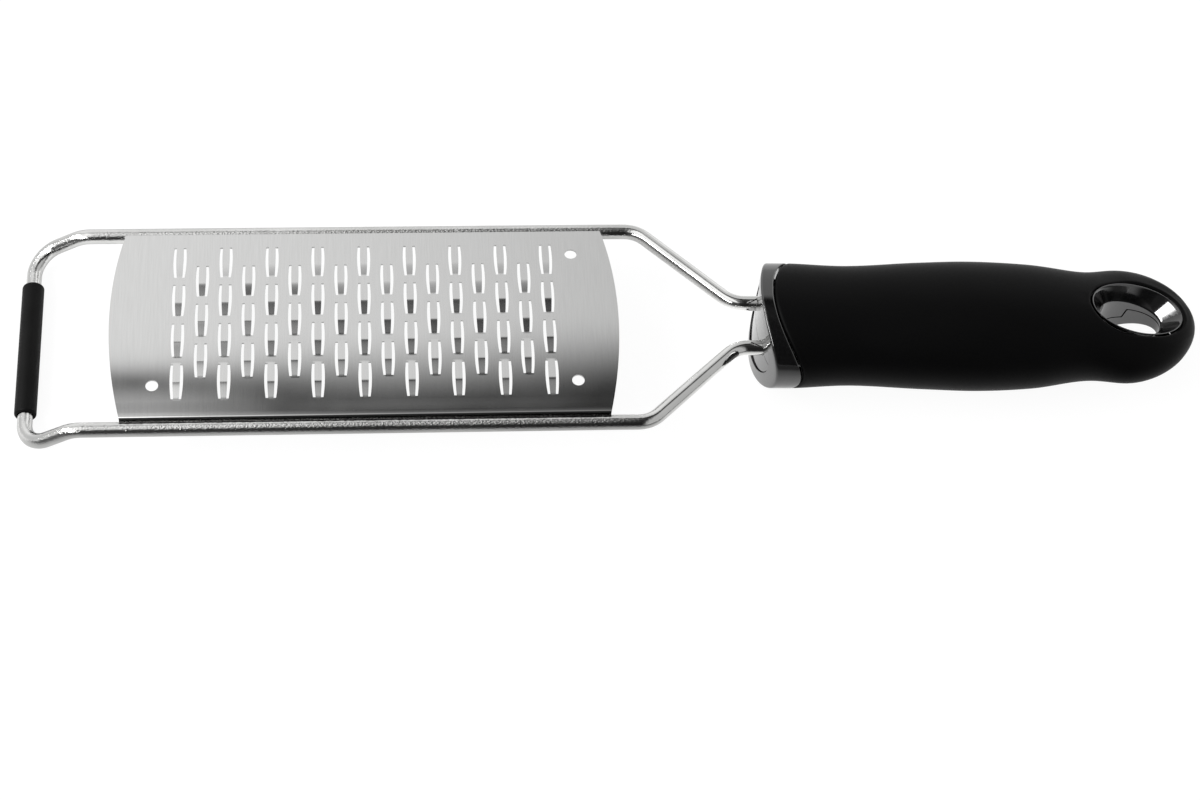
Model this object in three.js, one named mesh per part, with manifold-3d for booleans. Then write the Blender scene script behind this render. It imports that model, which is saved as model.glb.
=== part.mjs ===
// Ribbon grater: an arched steel blade with raised ribbon teeth, held between the rails of one bent
// wire, with a rubber sleeve as its front foot and a two-part handle with a hanging eye.
// Millimetres. X runs from the foot to the handle, Y across the blade and Z up from the table.

import * as THREE from 'three';
import { mergeVertices } from 'three/addons/utils/BufferGeometryUtils.js';
import Module from 'manifold-3d';

const wasm = await Module();
wasm.setup();

// Clearance between pieces that touch
const gap = 0.3;

// Wire frame, drawn flat with the blade's centre at x = 0 and then bent
const wireDiameter = 4;
const railSpacing = 62.4;
const tangSpacing = 14.6;
const neckStart = 73.4;
const neckEnd = 97.8;
const neckRadius = 8;
const tangEnd = 150;
const frontLength = 90.8;
const frontCornerRadius = 7.4;
const foldStart = 73.2;
const foldRadius = 8.2;
const foldAngle = THREE.MathUtils.degToRad(31.5);
const droopStart = 70;
const droopAngle = THREE.MathUtils.degToRad(1.7);

// Blade
const bladeLength = 127;
const bladeEndBulge = 4.1;
const sheet = 0.5;
const archRadius = 175;
const bendRadius = 1;
const bladeLift = 0.35;
const flangeDepth = 3.8;
const toothColumns = 9;
const toothRows = 4;
const toothMargin = 14.82;
const rowPitch = 12.8;
const toothLength = 9.7;
const toothEndWidth = 3;
const toothMiddleWidth = 3.5;
const ribbonWidth = 1.7;
const ribbonSheet = 0.36;
const ribbonRise = 1.35;
const ribbonRoot = 0.45;
const holeDiameter = 3.3;
const holeFromEnd = 8.3;
const holeFromMiddle = 20.2;

// Foot sleeve
const sleeveLength = 41.6;
const sleeveDiameter = 5.8;
const sleeveChamfer = 0.4;

// Handle, measured along its own axis from the front of the collar
const handleFront = 103.8;
const handleLength = 120.8;
const gripWall = 2.2;
const faceRadius = 40.7;
const collarDepth = 3.5;
const gripFrontRadius = 25;
const noseWidth = 27;
const noseHeight = 21.4;
const noseRecess = 0.4;
const tailLength = 20.6;
const handleWidth = 37.2;
const handleHeight = 29.3;
const swellAt = 0.49;

// Handle sections from the front to the swell and on to the tail: place as a share of the handle's
// length, width and height as shares of the swell
const handleSections = [
  { at: -0.03, wide: 0.962, high: 0.956 },
  { at: 0.07, wide: 0.968, high: 0.956 },
  { at: 0.2, wide: 0.919, high: 0.942 },
  { at: 0.37, wide: 0.973, high: 0.983 },
  { at: swellAt, wide: 1, high: 1 },
  { at: 0.62, wide: 0.957, high: 0.962 },
  { at: 0.755, wide: 0.844, high: 0.819 },
];
const tailWide = 0.919;
const tailHigh = 0.703;

// Hanging eye, a straight throat between two flared mouths
const throatFromEnd = 18.8;
const throatLength = 18;
const throatWidth = 11;
const mouthFromEnd = 17.6;
const mouthLength = 25.9;
const mouthWidth = 16.1;
const mouthDepth = 3.7;
const throatHeight = 9.8;
const mouthSlope = 0.268;
const eyeWall = 0.8;
const seamStep = 2.2;
const seamStepStart = 32;

// Derived sizes
const wireRadius = wireDiameter / 2;
const railY = railSpacing / 2;
const tangY = tangSpacing / 2;
const handleEnd = handleFront + handleLength;
const tailStart = handleEnd - tailLength;
const gripFront = handleFront + collarDepth;
const flangeY = railY - wireRadius - gap;
const archDrop = (y) => archRadius - Math.sqrt(archRadius ** 2 - y ** 2);
const bladeApex = wireRadius + bladeLift + archDrop(flangeY);
const flangeBottom = wireRadius + bladeLift - flangeDepth;
const columnPitch = (bladeLength - 2 * toothMargin) / (toothColumns - 1);

// Facets
const wireSides = 12;
const sleeveSides = 16;
const handleSides = 28;
const handleRings = 14;
const tailRings = 6;
const eyeSides = 28;

const steel = new THREE.MeshStandardMaterial({ color: 0xc9c9c6, roughness: 0.35, metalness: 1 });
const polishedSteel = new THREE.MeshStandardMaterial({ color: 0xdcdcda, roughness: 0.18, metalness: 1 });
const rubber = new THREE.MeshStandardMaterial({ color: 0x161616, roughness: 0.8, metalness: 0 });
const softGrip = new THREE.MeshStandardMaterial({ color: 0x121212, roughness: 0.65, metalness: 0 });
const glossPlastic = new THREE.MeshStandardMaterial({ color: 0x0c0c0c, roughness: 0.12, metalness: 0 });

// Geometry as a solid that can be joined and cut
function solid(geometry) {
  geometry.deleteAttribute('normal');
  geometry.deleteAttribute('uv');
  const merged = mergeVertices(geometry, 1e-4);
  const corners = merged.index.array;
  const triangles = [];
  for (let i = 0; i < corners.length; i += 3) {
    const [a, b, c] = corners.slice(i, i + 3);
    if (a !== b && b !== c && c !== a) triangles.push(a, b, c);
  }
  return new wasm.Manifold(new wasm.Mesh({
    numProp: 3,
    vertProperties: new Float32Array(merged.attributes.position.array),
    triVerts: new Uint32Array(triangles),
  }));
}

// A solid back as geometry for a mesh
function geometryOf(manifold) {
  const { vertProperties, triVerts } = manifold.getMesh();
  const geometry = new THREE.BufferGeometry();
  geometry.setAttribute('position', new THREE.BufferAttribute(vertProperties, 3));
  geometry.setIndex(new THREE.BufferAttribute(triVerts, 1));
  geometry.computeVertexNormals();
  return geometry;
}

function piece(name, geometry, material) {
  const mesh = new THREE.Mesh(geometry, material);
  mesh.name = name;
  return mesh;
}

// A straight extrusion, centred on its own depth
function centredExtrusion(shape, depth, curveSegments) {
  const geometry = new THREE.ExtrudeGeometry(shape, { depth, curveSegments, bevelEnabled: false });
  return geometry.translate(0, 0, -depth / 2);
}

// An outline drawn in X and Z, extruded along Y
function sideExtrusion(shape, depth) {
  return centredExtrusion(shape, depth, 1).rotateX(Math.PI / 2);
}

// An elliptic bar along X
function ellipticBar(from, to, width, height, sides) {
  const bar = new THREE.CylinderGeometry(0.5, 0.5, to - from, sides).rotateZ(-Math.PI / 2);
  return bar.scale(1, width, height).translate((from + to) / 2, 0, 0);
}

// A path through corner points, each rounded with its own radius, or sharp where that is zero
function roundedPath(corners) {
  const path = new THREE.Path();
  corners.forEach(({ point, radius }, i) => {
    if (i === 0) {
      path.moveTo(point.x, point.y);
      return;
    }
    if (!radius) {
      path.lineTo(point.x, point.y);
      return;
    }
    const arrive = point.clone().sub(corners[i - 1].point).normalize();
    const leave = corners[i + 1].point.clone().sub(point).normalize();
    const turn = Math.atan2(arrive.cross(leave), arrive.dot(leave));
    const side = Math.sign(turn);
    const start = point.clone().addScaledVector(arrive, -radius * Math.tan(Math.abs(turn) / 2));
    const inward = new THREE.Vector2(-arrive.y, arrive.x).multiplyScalar(side);
    const centre = start.clone().addScaledVector(inward, radius);
    const from = Math.atan2(start.y - centre.y, start.x - centre.x);
    path.lineTo(start.x, start.y);
    path.absarc(centre.x, centre.y, radius, from, from + turn, side < 0);
  });
  return path;
}

// Where a point of the flat wire comes to lie: the front folds down, and the neck droops slightly
function bendFlat({ x, y }) {
  if (x > droopStart) {
    return new THREE.Vector3(x, y, (droopStart - x) * Math.tan(droopAngle));
  }
  const beyond = Math.max(0, -x - foldStart);
  const angle = Math.min(beyond / foldRadius, foldAngle);
  const straight = beyond - foldRadius * angle;
  return new THREE.Vector3(
    Math.max(x, -foldStart) - foldRadius * Math.sin(angle) - straight * Math.cos(angle),
    y,
    -foldRadius * (1 - Math.cos(angle)) - straight * Math.sin(angle),
  );
}

// A curve that steps from station to station, so bends get more steps than straight runs
class StationCurve extends THREE.Curve {
  constructor(stations) {
    super();
    this.stations = stations;
  }

  getUtoTmapping(u) {
    return u;
  }

  getPoint(t, target = new THREE.Vector3()) {
    const last = this.stations.length - 1;
    const place = THREE.MathUtils.clamp(t, 0, 1) * last;
    const before = Math.min(Math.floor(place), last - 1);
    return target.lerpVectors(this.stations[before], this.stations[before + 1], place - before);
  }
}

function wireFrame() {
  const foldSteps = 4;
  const arcDivisions = 3;
  const corner = (x, y, radius = 0) => ({ point: new THREE.Vector2(x, y), radius });
  const half = [
    corner(tangEnd, tangY),
    corner(neckEnd, tangY, neckRadius),
    corner(neckStart, railY, neckRadius),
    corner(droopStart - wireDiameter, railY),
  ];
  for (let i = 0; i <= foldSteps; i += 1) {
    half.push(corner(-foldStart - (foldRadius * foldAngle * i) / foldSteps, railY));
  }
  half.push(corner(-frontLength, railY, frontCornerRadius));
  const otherHalf = half.map(({ point, radius }) => corner(point.x, -point.y, radius)).reverse();
  const flat = roundedPath([...half, ...otherHalf]).getPoints(arcDivisions);
  const apart = flat.filter((point, i) => i === 0 || point.distanceTo(flat[i - 1]) > gap);
  const stations = apart.map(bendFlat);

  const section = new THREE.Shape().absarc(0, 0, wireRadius, 0, 2 * Math.PI);
  const geometry = new THREE.ExtrudeGeometry(section, {
    steps: stations.length - 1,
    curveSegments: wireSides / 2,
    extrudePath: new StationCurve(stations),
  });
  return piece('wire_frame', geometryOf(solid(geometry)), polishedSteel);
}

// One skin of the bent sheet, drawn in Y and Z from flange to flange
function bladeSkin(inset) {
  const y = flangeY - inset;
  const radius = archRadius - inset;
  const archEnd = flangeY - bendRadius;
  const slope = Math.asin(archEnd / radius);
  const bendTop = bladeApex - archRadius + radius * Math.cos(slope);
  const corner = bendTop - (y - archEnd) * Math.tan(slope);
  const up = Math.PI / 2;
  const path = new THREE.Path();
  path.moveTo(-y, flangeBottom);
  path.lineTo(-y, corner - bendRadius);
  path.quadraticCurveTo(-y, corner, -archEnd, bendTop);
  path.absarc(0, bladeApex - archRadius, radius, up + slope, up - slope, true);
  path.quadraticCurveTo(y, corner, y, corner - bendRadius);
  path.lineTo(y, flangeBottom);
  return path.getPoints(4);
}

// The bent sheet, with both ends cut to a shallow outward arc
function bladeSheet() {
  const outline = new THREE.Shape([...bladeSkin(0), ...bladeSkin(sheet).reverse()]);
  const longest = bladeLength + 4 * bladeEndBulge;
  const bent = centredExtrusion(outline, longest, 1).rotateX(Math.PI / 2).rotateZ(Math.PI / 2);
  const endRadius = (flangeY ** 2 + bladeEndBulge ** 2) / (2 * bladeEndBulge);
  const endAngle = Math.asin((flangeY + gap) / endRadius);
  const endCentre = bladeLength / 2 + bladeEndBulge - endRadius;
  const plan = new THREE.Shape();
  plan.absarc(endCentre, 0, endRadius, -endAngle, endAngle, false);
  plan.absarc(-endCentre, 0, endRadius, Math.PI - endAngle, Math.PI + endAngle, false);
  return solid(bent).intersect(solid(centredExtrusion(plan, 4 * railSpacing, 8)));
}

// Middle of each tooth: full columns of four rows, with columns of three set between them
function toothPlaces() {
  const places = [];
  for (let column = 0; column < 2 * toothColumns - 1; column += 1) {
    const rows = toothRows - (column % 2);
    for (let row = 0; row < rows; row += 1) {
      places.push({
        x: ((column + 1 - toothColumns) * columnPitch) / 2,
        y: (row - (rows - 1) / 2) * rowPitch,
      });
    }
  }
  return places;
}

// Plan of the opening around a tooth, wider in the middle than at its ends
function toothOpening() {
  const half = toothLength / 2;
  const end = toothEndWidth / 2;
  const control = toothMiddleWidth - end;
  const shape = new THREE.Shape();
  shape.moveTo(-end, -half);
  shape.lineTo(end, -half);
  shape.quadraticCurveTo(control, 0, end, half);
  shape.lineTo(-end, half);
  shape.quadraticCurveTo(-control, 0, -end, -half);
  return centredExtrusion(shape, railSpacing, 3);
}

// A narrow strip that rises in a smooth wave out of the sheet and back into it
function ribbon() {
  const steps = 6;
  const half = toothLength / 2 + ribbonRoot;
  const wave = (s) => ribbonRise * (0.5 + 0.5 * Math.cos((Math.PI * s) / half)) - s ** 2 / (2 * archRadius);
  const along = Array.from({ length: steps + 1 }, (_, i) => -half + (2 * half * i) / steps);
  const lower = along.map((s) => new THREE.Vector2(s, wave(s) - (sheet + ribbonSheet) / 2));
  const upper = along.map((s) => new THREE.Vector2(s, wave(s) - (sheet - ribbonSheet) / 2));
  const strip = new THREE.Shape([...lower, ...upper.reverse()]);
  return centredExtrusion(strip, ribbonWidth, 1).rotateX(Math.PI / 2).rotateZ(Math.PI / 2);
}

function blade() {
  const places = toothPlaces();
  let body = bladeSheet();
  const openings = places.map(({ x, y }) => solid(toothOpening().translate(x, y, 0)));
  const holeX = bladeLength / 2 - holeFromEnd;
  const holes = [[holeX, holeFromMiddle], [holeX, -holeFromMiddle], [-holeX, -holeFromMiddle]];
  holes.forEach(([x, y]) => {
    const drill = new THREE.CylinderGeometry(holeDiameter / 2, holeDiameter / 2, railSpacing, 16);
    openings.push(solid(drill.rotateX(Math.PI / 2).translate(x, y, 0)));
  });
  openings.forEach((opening) => {
    body = body.subtract(opening);
  });
  places.forEach(({ x, y }) => {
    const lean = -Math.asin(y / archRadius);
    const strip = ribbon().rotateX(lean).translate(x, y, bladeApex - archDrop(y));
    body = body.add(solid(strip));
  });
  return piece('blade', geometryOf(body), steel);
}

function footSleeve() {
  const toFlats = 1 / Math.cos(Math.PI / sleeveSides);
  const outer = (sleeveDiameter / 2) * toFlats;
  const bore = (wireRadius + gap) * toFlats;
  const half = sleeveLength / 2;
  const profile = [
    new THREE.Vector2(bore, -half),
    new THREE.Vector2(outer - sleeveChamfer, -half),
    new THREE.Vector2(outer, -half + sleeveChamfer),
    new THREE.Vector2(outer, half - sleeveChamfer),
    new THREE.Vector2(outer - sleeveChamfer, half),
    new THREE.Vector2(bore, half),
    new THREE.Vector2(bore, -half),
  ];
  const tube = new THREE.LatheGeometry(profile, sleeveSides, Math.PI / sleeveSides);
  return piece('foot_sleeve', geometryOf(solid(tube)), rubber);
}

// The handle's outer form, or that form drawn in by an even wall: rings of ellipses and a round tail
function handleForm(inset) {
  const stations = [
    ...handleSections.map(({ at, wide, high }) => [handleFront + at * handleLength, wide, high]),
    [tailStart, tailWide, tailHigh],
  ];
  const spine = new THREE.CatmullRomCurve3(stations.map(([x, wide, high]) => (
    new THREE.Vector3(x, (wide * handleWidth) / 2, (high * handleHeight) / 2))));
  const rings = spine.getPoints(handleRings).map(({ x, y, z }) => ({ x, y, z, radius: 1 }));
  rings.unshift({ ...rings[0], radius: 0 });
  const { y, z } = rings[rings.length - 1];
  for (let i = 1; i <= tailRings; i += 1) {
    const angle = (Math.PI / 2) * (i / tailRings);
    const radius = i === tailRings ? 0 : Math.cos(angle);
    rings.push({ x: tailStart + (tailLength - inset) * Math.sin(angle), y, z, radius });
  }
  const form = new THREE.LatheGeometry(rings.map((ring) => new THREE.Vector2(ring.radius, ring.x)), handleSides);
  form.rotateZ(-Math.PI / 2);
  const position = form.attributes.position;
  for (let i = 0; i < position.count; i += 1) {
    const ring = rings[i % rings.length];
    position.setY(i, position.getY(i) * (ring.y - inset));
    position.setZ(i, position.getZ(i) * (ring.z - inset));
  }
  return solid(form);
}

// Everything behind an upright round face whose foremost line is at x = apex
function behindFace(apex, radius) {
  const reach = handleWidth / 2 + 1;
  const half = Math.asin(reach / radius);
  const shape = new THREE.Shape();
  shape.absarc(apex + radius, 0, radius, Math.PI - half, Math.PI + half, false);
  shape.lineTo(handleEnd + reach, -reach);
  shape.lineTo(handleEnd + reach, reach);
  return solid(centredExtrusion(shape, 4 * reach, 8));
}

// The eye's hollow, or the wall around it: the throat and a sloped, flared mouth above and below
function eyeForm(wall) {
  const flare = 2;
  const throat = new THREE.CylinderGeometry(1, 1, 2 * handleWidth, eyeSides).rotateX(Math.PI / 2);
  throat.scale(throatLength / 2 + wall, throatWidth / 2 + wall, 1);
  throat.translate(handleEnd - throatFromEnd, 0, 0);
  let form = solid(throat);
  [1, -1].forEach((side) => {
    const mouth = new THREE.CylinderGeometry(1, 1, 1, eyeSides).rotateX(Math.PI / 2);
    const position = mouth.attributes.position;
    for (let i = 0; i < position.count; i += 1) {
      const outer = side * position.getZ(i) > 0;
      const mix = outer ? flare : 0;
      const centre = handleEnd - THREE.MathUtils.lerp(throatFromEnd, mouthFromEnd, mix);
      const x = centre + position.getX(i) * (THREE.MathUtils.lerp(throatLength, mouthLength, mix) / 2 + wall);
      const z = throatHeight / 2 + mouthDepth * mix - mouthSlope * (x - handleEnd + throatFromEnd);
      position.setX(i, x);
      position.setY(i, position.getY(i) * (THREE.MathUtils.lerp(throatWidth, mouthWidth, mix) / 2 + wall));
      position.setZ(i, side * z);
    }
    form = form.add(solid(mouth));
  });
  return form;
}

function collar() {
  const ring = handleForm(0)
    .intersect(behindFace(handleFront, faceRadius))
    .subtract(behindFace(gripFront - gap, gripFrontRadius))
    .subtract(solid(ellipticBar(0, handleEnd, noseWidth, noseHeight, handleSides)));
  return piece('collar', geometryOf(ring), glossPlastic);
}

function grip() {
  const sleeve = handleForm(0)
    .intersect(behindFace(gripFront, gripFrontRadius))
    .subtract(handleForm(gripWall))
    .subtract(eyeForm(eyeWall + gap));
  return piece('grip', geometryOf(sleeve), softGrip);
}

// The whole core before it is parted into two halves
function wholeCore() {
  const nose = solid(ellipticBar(0, gripFront + gripWall * 4, noseWidth - 2 * gap, noseHeight - 2 * gap, handleSides))
    .intersect(behindFace(handleFront + noseRecess, faceRadius));
  let core = handleForm(gripWall + gap)
    .intersect(behindFace(gripFront, gripFrontRadius))
    .add(nose)
    .add(eyeForm(eyeWall).intersect(handleForm(0)))
    .subtract(eyeForm(0));
  [tangY, -tangY].forEach((y) => {
    const bore = ellipticBar(0, tangEnd + gap, wireDiameter + 2 * gap, wireDiameter + 2 * gap, wireSides);
    core = core.subtract(solid(bore.translate(0, y, 0)));
  });
  return core;
}

// Space above (side 1) or below (side -1) the parting face, which steps down in front of the eye
function partedSpace(side) {
  const reach = side * 2 * handleWidth;
  const level = (side * gap) / 2;
  const stepEnd = handleEnd - throatFromEnd + gap;
  const shape = new THREE.Shape();
  shape.moveTo(0, reach);
  shape.lineTo(0, level);
  shape.lineTo(handleEnd - seamStepStart, level);
  shape.lineTo(handleEnd - seamStepStart, level - seamStep);
  shape.lineTo(stepEnd, level - seamStep);
  shape.lineTo(stepEnd, level);
  shape.lineTo(2 * handleEnd, level);
  shape.lineTo(2 * handleEnd, reach);
  return solid(sideExtrusion(shape, 4 * handleWidth));
}

function coreHalves() {
  const core = wholeCore();
  return [['core_upper', 1], ['core_lower', -1]].map(([name, side]) => (
    piece(name, geometryOf(core.intersect(partedSpace(side))), glossPlastic)));
}

// The handle droops with the wire's neck, so it turns about the line where the droop starts
const handle = new THREE.Group();
handle.position.x = droopStart;
handle.rotation.y = droopAngle;
const handlePieces = new THREE.Group();
handlePieces.position.x = -droopStart;
handlePieces.add(collar(), grip(), ...coreHalves());
handle.add(handlePieces);

// The grater leans back a little until the foot and the handle's swell both rest on the table
const footCentre = bendFlat({ x: -frontLength, y: 0 });
const swellX = handleFront + swellAt * handleLength;
const swellBottom = (droopStart - swellX) * Math.tan(droopAngle) - handleHeight / 2;
const footBottom = footCentre.z - sleeveDiameter / 2;
const restAngle = Math.atan((footBottom - swellBottom) / (swellX - footCentre.x));

const sleeve = footSleeve();
sleeve.position.copy(footCentre);
sleeve.rotation.y = restAngle;

const grater = new THREE.Group();
grater.add(blade(), wireFrame(), sleeve, handle);
grater.rotation.y = -restAngle;

// The origin is under the middle of the whole grater, on the table
const bounds = new THREE.Box3().setFromObject(grater, true);
const middle = bounds.getCenter(new THREE.Vector3());
grater.position.set(-middle.x, -middle.y, -bounds.min.z);

export default grater;
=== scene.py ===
# %% [markdown]
# This lesson dresses a hand grater: an arched steel blade with raised ribbon teeth, one bent steel wire
# that carries it, a rubber sleeve as the front foot, and a black handle with a hanging eye. The packed
# solids are loaded first and stay where they are, so every smooth piece below is made in their place,
# in metres, with the object lying on its table at z = 0.

# %% Load the solids
import math

import bpy
import numpy as np
from mathutils import Matrix


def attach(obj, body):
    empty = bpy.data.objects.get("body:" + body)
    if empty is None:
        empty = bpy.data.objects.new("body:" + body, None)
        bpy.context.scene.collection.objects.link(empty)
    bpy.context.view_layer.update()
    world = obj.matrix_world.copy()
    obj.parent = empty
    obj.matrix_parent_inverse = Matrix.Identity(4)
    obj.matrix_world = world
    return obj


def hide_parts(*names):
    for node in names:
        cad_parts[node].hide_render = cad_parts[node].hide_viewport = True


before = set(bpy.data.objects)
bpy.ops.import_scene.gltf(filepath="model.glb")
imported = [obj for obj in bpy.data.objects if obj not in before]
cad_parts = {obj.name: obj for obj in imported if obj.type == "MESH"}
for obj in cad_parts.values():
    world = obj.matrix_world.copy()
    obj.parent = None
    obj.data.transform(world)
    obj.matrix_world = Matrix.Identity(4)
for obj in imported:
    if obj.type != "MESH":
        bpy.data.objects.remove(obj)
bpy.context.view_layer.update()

# %% [markdown]
# All sizes below are real millimetres, drawn on the grater's own axes: x along the blade with its
# middle at zero, y across it, z up from the plane of the wire. A grater on a table leans back a little
# on its foot and its handle, so one turn and one shift bring each point to its place in the frame.
# Doing that to the numbers, and not to the objects, leaves every object at the origin.

# %% From grater millimetres to frame metres
MM = 0.001
REST_ANGLE = math.radians(1.4708141)
REST_SHIFT = np.array([-66.63221, 0.0, 13.22511])


def points_at(x, y, z):
    """One array of points from three arrays of coordinates, stretched to the same shape."""
    return np.stack(np.broadcast_arrays(x, y, z), axis=-1)


def on_table(points):
    """Turn about Y by the rest angle, shift to the middle of the table, and scale to metres."""
    x, y, z = np.moveaxis(np.asarray(points, dtype=float), -1, 0)
    cos, sin = math.cos(REST_ANGLE), math.sin(REST_ANGLE)
    return (points_at(x * cos - z * sin, y, x * sin + z * cos) + REST_SHIFT) * MM


print("blade middle on the table:", np.round(on_table([0, 0, 0]), 4).tolist())

# %% [markdown]
# Every piece is a grid of points joined by four-sided faces. Blender's modelling tools and modifiers could
# shape such forms too, but in a formula each measured size stays a number that can be read and changed.
# Where two patches share an edge, their points are computed twice and then welded, which also closes
# seams and poles. A closed shell has a signed volume, and if that is negative the faces look inwards, so
# they are turned over.

# %% Helpers for grids
def grid_quads(rows, columns, wrap_rows=False, wrap_columns=False):
    """Corner numbers of all faces between neighbouring rows and columns, wrapping round where asked."""
    i, j = np.meshgrid(
        np.arange(rows if wrap_rows else rows - 1),
        np.arange(columns if wrap_columns else columns - 1),
        indexing="ij",
    )
    below, beside = (i + 1) % rows, (j + 1) % columns
    corners = [i * columns + j, below * columns + j, below * columns + beside, i * columns + beside]
    return np.stack(corners, axis=-1).reshape(-1, 4)


def patch(grid, wrap_rows=False, wrap_columns=False, turned=False):
    """The points of a grid as one list, and its faces, turned over where asked."""
    quads = grid_quads(*grid.shape[:2], wrap_rows, wrap_columns)
    return grid.reshape(-1, 3), quads[:, ::-1] if turned else quads


def join_patches(*patches):
    """One point list and one face list out of several, each face list moved up by the points before it."""
    starts = np.cumsum([0] + [len(points) for points, _ in patches[:-1]])
    points = np.concatenate([points for points, _ in patches])
    quads = np.concatenate([quads + start for (_, quads), start in zip(patches, starts)])
    return points, quads


# %% Helpers for welding and closing
WELD = 2e-6
CUBE_SHIFT = 0.37


def same_places(points, size):
    """The first of all points that fall in the same tiny cube, and the new number of every point. The
    cubes are shifted, so that round numbers do not fall on their faces."""
    cubes = np.floor(points / size + CUBE_SHIFT).astype(np.int64)
    _, first, number = np.unique(cubes, axis=0, return_index=True, return_inverse=True)
    return first, number.reshape(-1)


def signed_volume(points, quads):
    """Sum over faces of the volume between the face and the origin, as two triangles each."""
    a, b, c, d = (points[quads[:, k]] for k in range(4))
    first = np.einsum("ij,ij->i", a, np.cross(b, c))
    second = np.einsum("ij,ij->i", a, np.cross(c, d))
    return (first.sum() + second.sum()) / 6


def closed_shell(points, quads):
    """Patches welded where their points meet, with all faces looking outwards."""
    first, number = same_places(points, WELD)
    points, quads = points[first], number[quads]
    middle = points.mean(axis=0)
    if signed_volume(points - middle, quads) < 0:
        quads = quads[:, ::-1]
    return points, quads


# %% Helpers that put a shell into Blender
SHARP_ANGLE = math.radians(35)


def add_object(name, data):
    """A new object at the origin, linked into the scene."""
    thing = bpy.data.objects.new(name, data)
    bpy.context.scene.collection.objects.link(thing)
    return thing


def make_piece(name, node, material, shell):
    """A mesh object that stands for a solid; faces with a doubled corner become triangles."""
    points, quads = shell
    doubled = quads == np.roll(quads, -1, axis=1)
    whole = quads[doubled.sum(axis=1) == 0]
    thin = doubled.sum(axis=1) == 1
    triangles = quads[thin][~doubled[thin]].reshape(-1, 3)
    mesh = bpy.data.meshes.new(name)
    mesh.from_pydata(points.tolist(), [], whole.tolist() + triangles.tolist())
    mesh.update()
    mesh.shade_smooth()
    mesh.set_sharp_from_angle(angle=SHARP_ANGLE)
    mesh.materials.append(material)
    piece = add_object(name, mesh)
    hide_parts(node)
    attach(piece, "root")
    low, high = points.min(axis=0) / MM, points.max(axis=0) / MM
    print(name, len(whole), "quads", len(triangles), "triangles, mm", np.round(low, 1), np.round(high, 1))


# %% [markdown]
# The finishes come from noise patterns on Object coordinates. Painted pictures could do the same, but
# noise needs no file, and Object coordinates are real metres here because every piece sits at the origin:
# a pattern's scale is simply one over the size of its marks in metres. A finish is a small tree of nodes,
# so two helpers add a node and fill its sockets, by a plain value or by a link from another node.

# %% Helpers for nodes
def fill_sockets(tree, node, values):
    """Fills sockets by name or number: an output of another node is linked, anything else is set."""
    for socket, value in values.items():
        if isinstance(value, bpy.types.NodeSocket):
            tree.links.new(value, node.inputs[socket])
        else:
            node.inputs[socket].default_value = value


def add_node(tree, kind, values, **settings):
    """A new node with its settings, such as an operation, and its filled sockets."""
    node = tree.nodes.new(kind)
    for setting, choice in settings.items():
        setattr(node, setting, choice)
    fill_sockets(tree, node, values)
    return node


def ramp_between(tree, value, start, end, before, after, kind="LINEAR"):
    """A number that goes from one before the start to another after the end, evenly or smoothly."""
    sockets = {"Value": value, "From Min": start, "From Max": end, "To Min": before, "To Max": after}
    return add_node(tree, "ShaderNodeMapRange", sockets, interpolation_type=kind).outputs["Result"]


def colour_stops(tree, value, rows):
    """The outputs of a colour ramp with one stop for each row of a place from 0 to 1 and a colour."""
    ramp = add_node(tree, "ShaderNodeValToRGB", {"Fac": value})
    stops = ramp.color_ramp.elements
    while len(stops) < len(rows):
        stops.new(0.5)
    for stop, (at, colour) in zip(stops, rows):
        stop.position = at
        stop.color = colour
    return ramp.outputs


# %% Helpers for finishes
# Most of a noise lies between these two values
NOISE_LOW, NOISE_HIGH = 0.3, 0.7


def start_finish(name):
    """A node material with its shader node and an Object coordinate output."""
    material = bpy.data.materials.new(name)
    material.use_nodes = True
    tree = material.node_tree
    place = tree.nodes.new("ShaderNodeTexCoord").outputs["Object"]
    return material, tree, tree.nodes["Principled BSDF"], place


def noise(tree, place, mark_mm, detail=2.0):
    """Noise from 0 to 1 with marks of the given size in mm along x, y and z."""
    scale = [1 / (size * MM) for size in mark_mm]
    stretch = add_node(tree, "ShaderNodeMapping", {"Vector": place, "Scale": scale})
    sockets = {"Vector": stretch.outputs["Vector"], "Scale": 1.0, "Detail": detail}
    return add_node(tree, "ShaderNodeTexNoise", sockets).outputs["Fac"]


def shade_between(tree, pattern, dark, light):
    """A colour that goes from dark to light across the middle of a pattern."""
    return colour_stops(tree, pattern, [(NOISE_LOW, (*dark, 1)), (NOISE_HIGH, (*light, 1))])["Color"]


def value_between(tree, pattern, low, high):
    """A number that goes from low to high across the middle of a pattern."""
    return ramp_between(tree, pattern, NOISE_LOW, NOISE_HIGH, low, high)


def bumps(tree, pattern, height_mm, strength):
    """A normal that is tilted as if the pattern stood up by the given height."""
    sockets = {"Height": pattern, "Distance": height_mm * MM, "Strength": strength}
    return add_node(tree, "ShaderNodeBump", sockets).outputs["Normal"]


# %% [markdown]
# The wire is one steel rod: two rails, a neck that draws in to the handle, and a front cross bar that
# folds down to the table. Blender could bevel a curve, but the flat bending plan is easier to measure:
# straight runs and round corners are drawn in a plane, the plan is then bent in height, and a circle is
# carried along it.

# %% Wire bends
FOLD_START, FOLD_RADIUS, FOLD_ANGLE = 73.2, 8.2, math.radians(31.5)
DROOP_START, DROOP_ANGLE, DROOP_EASE = 70.0, math.radians(1.7), 8.0
CORNER_STEPS, SAME_POINT = 25, 1e-9


def unit(vectors):
    """The same directions with a length of one."""
    return vectors / np.linalg.norm(vectors, axis=-1, keepdims=True)


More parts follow.
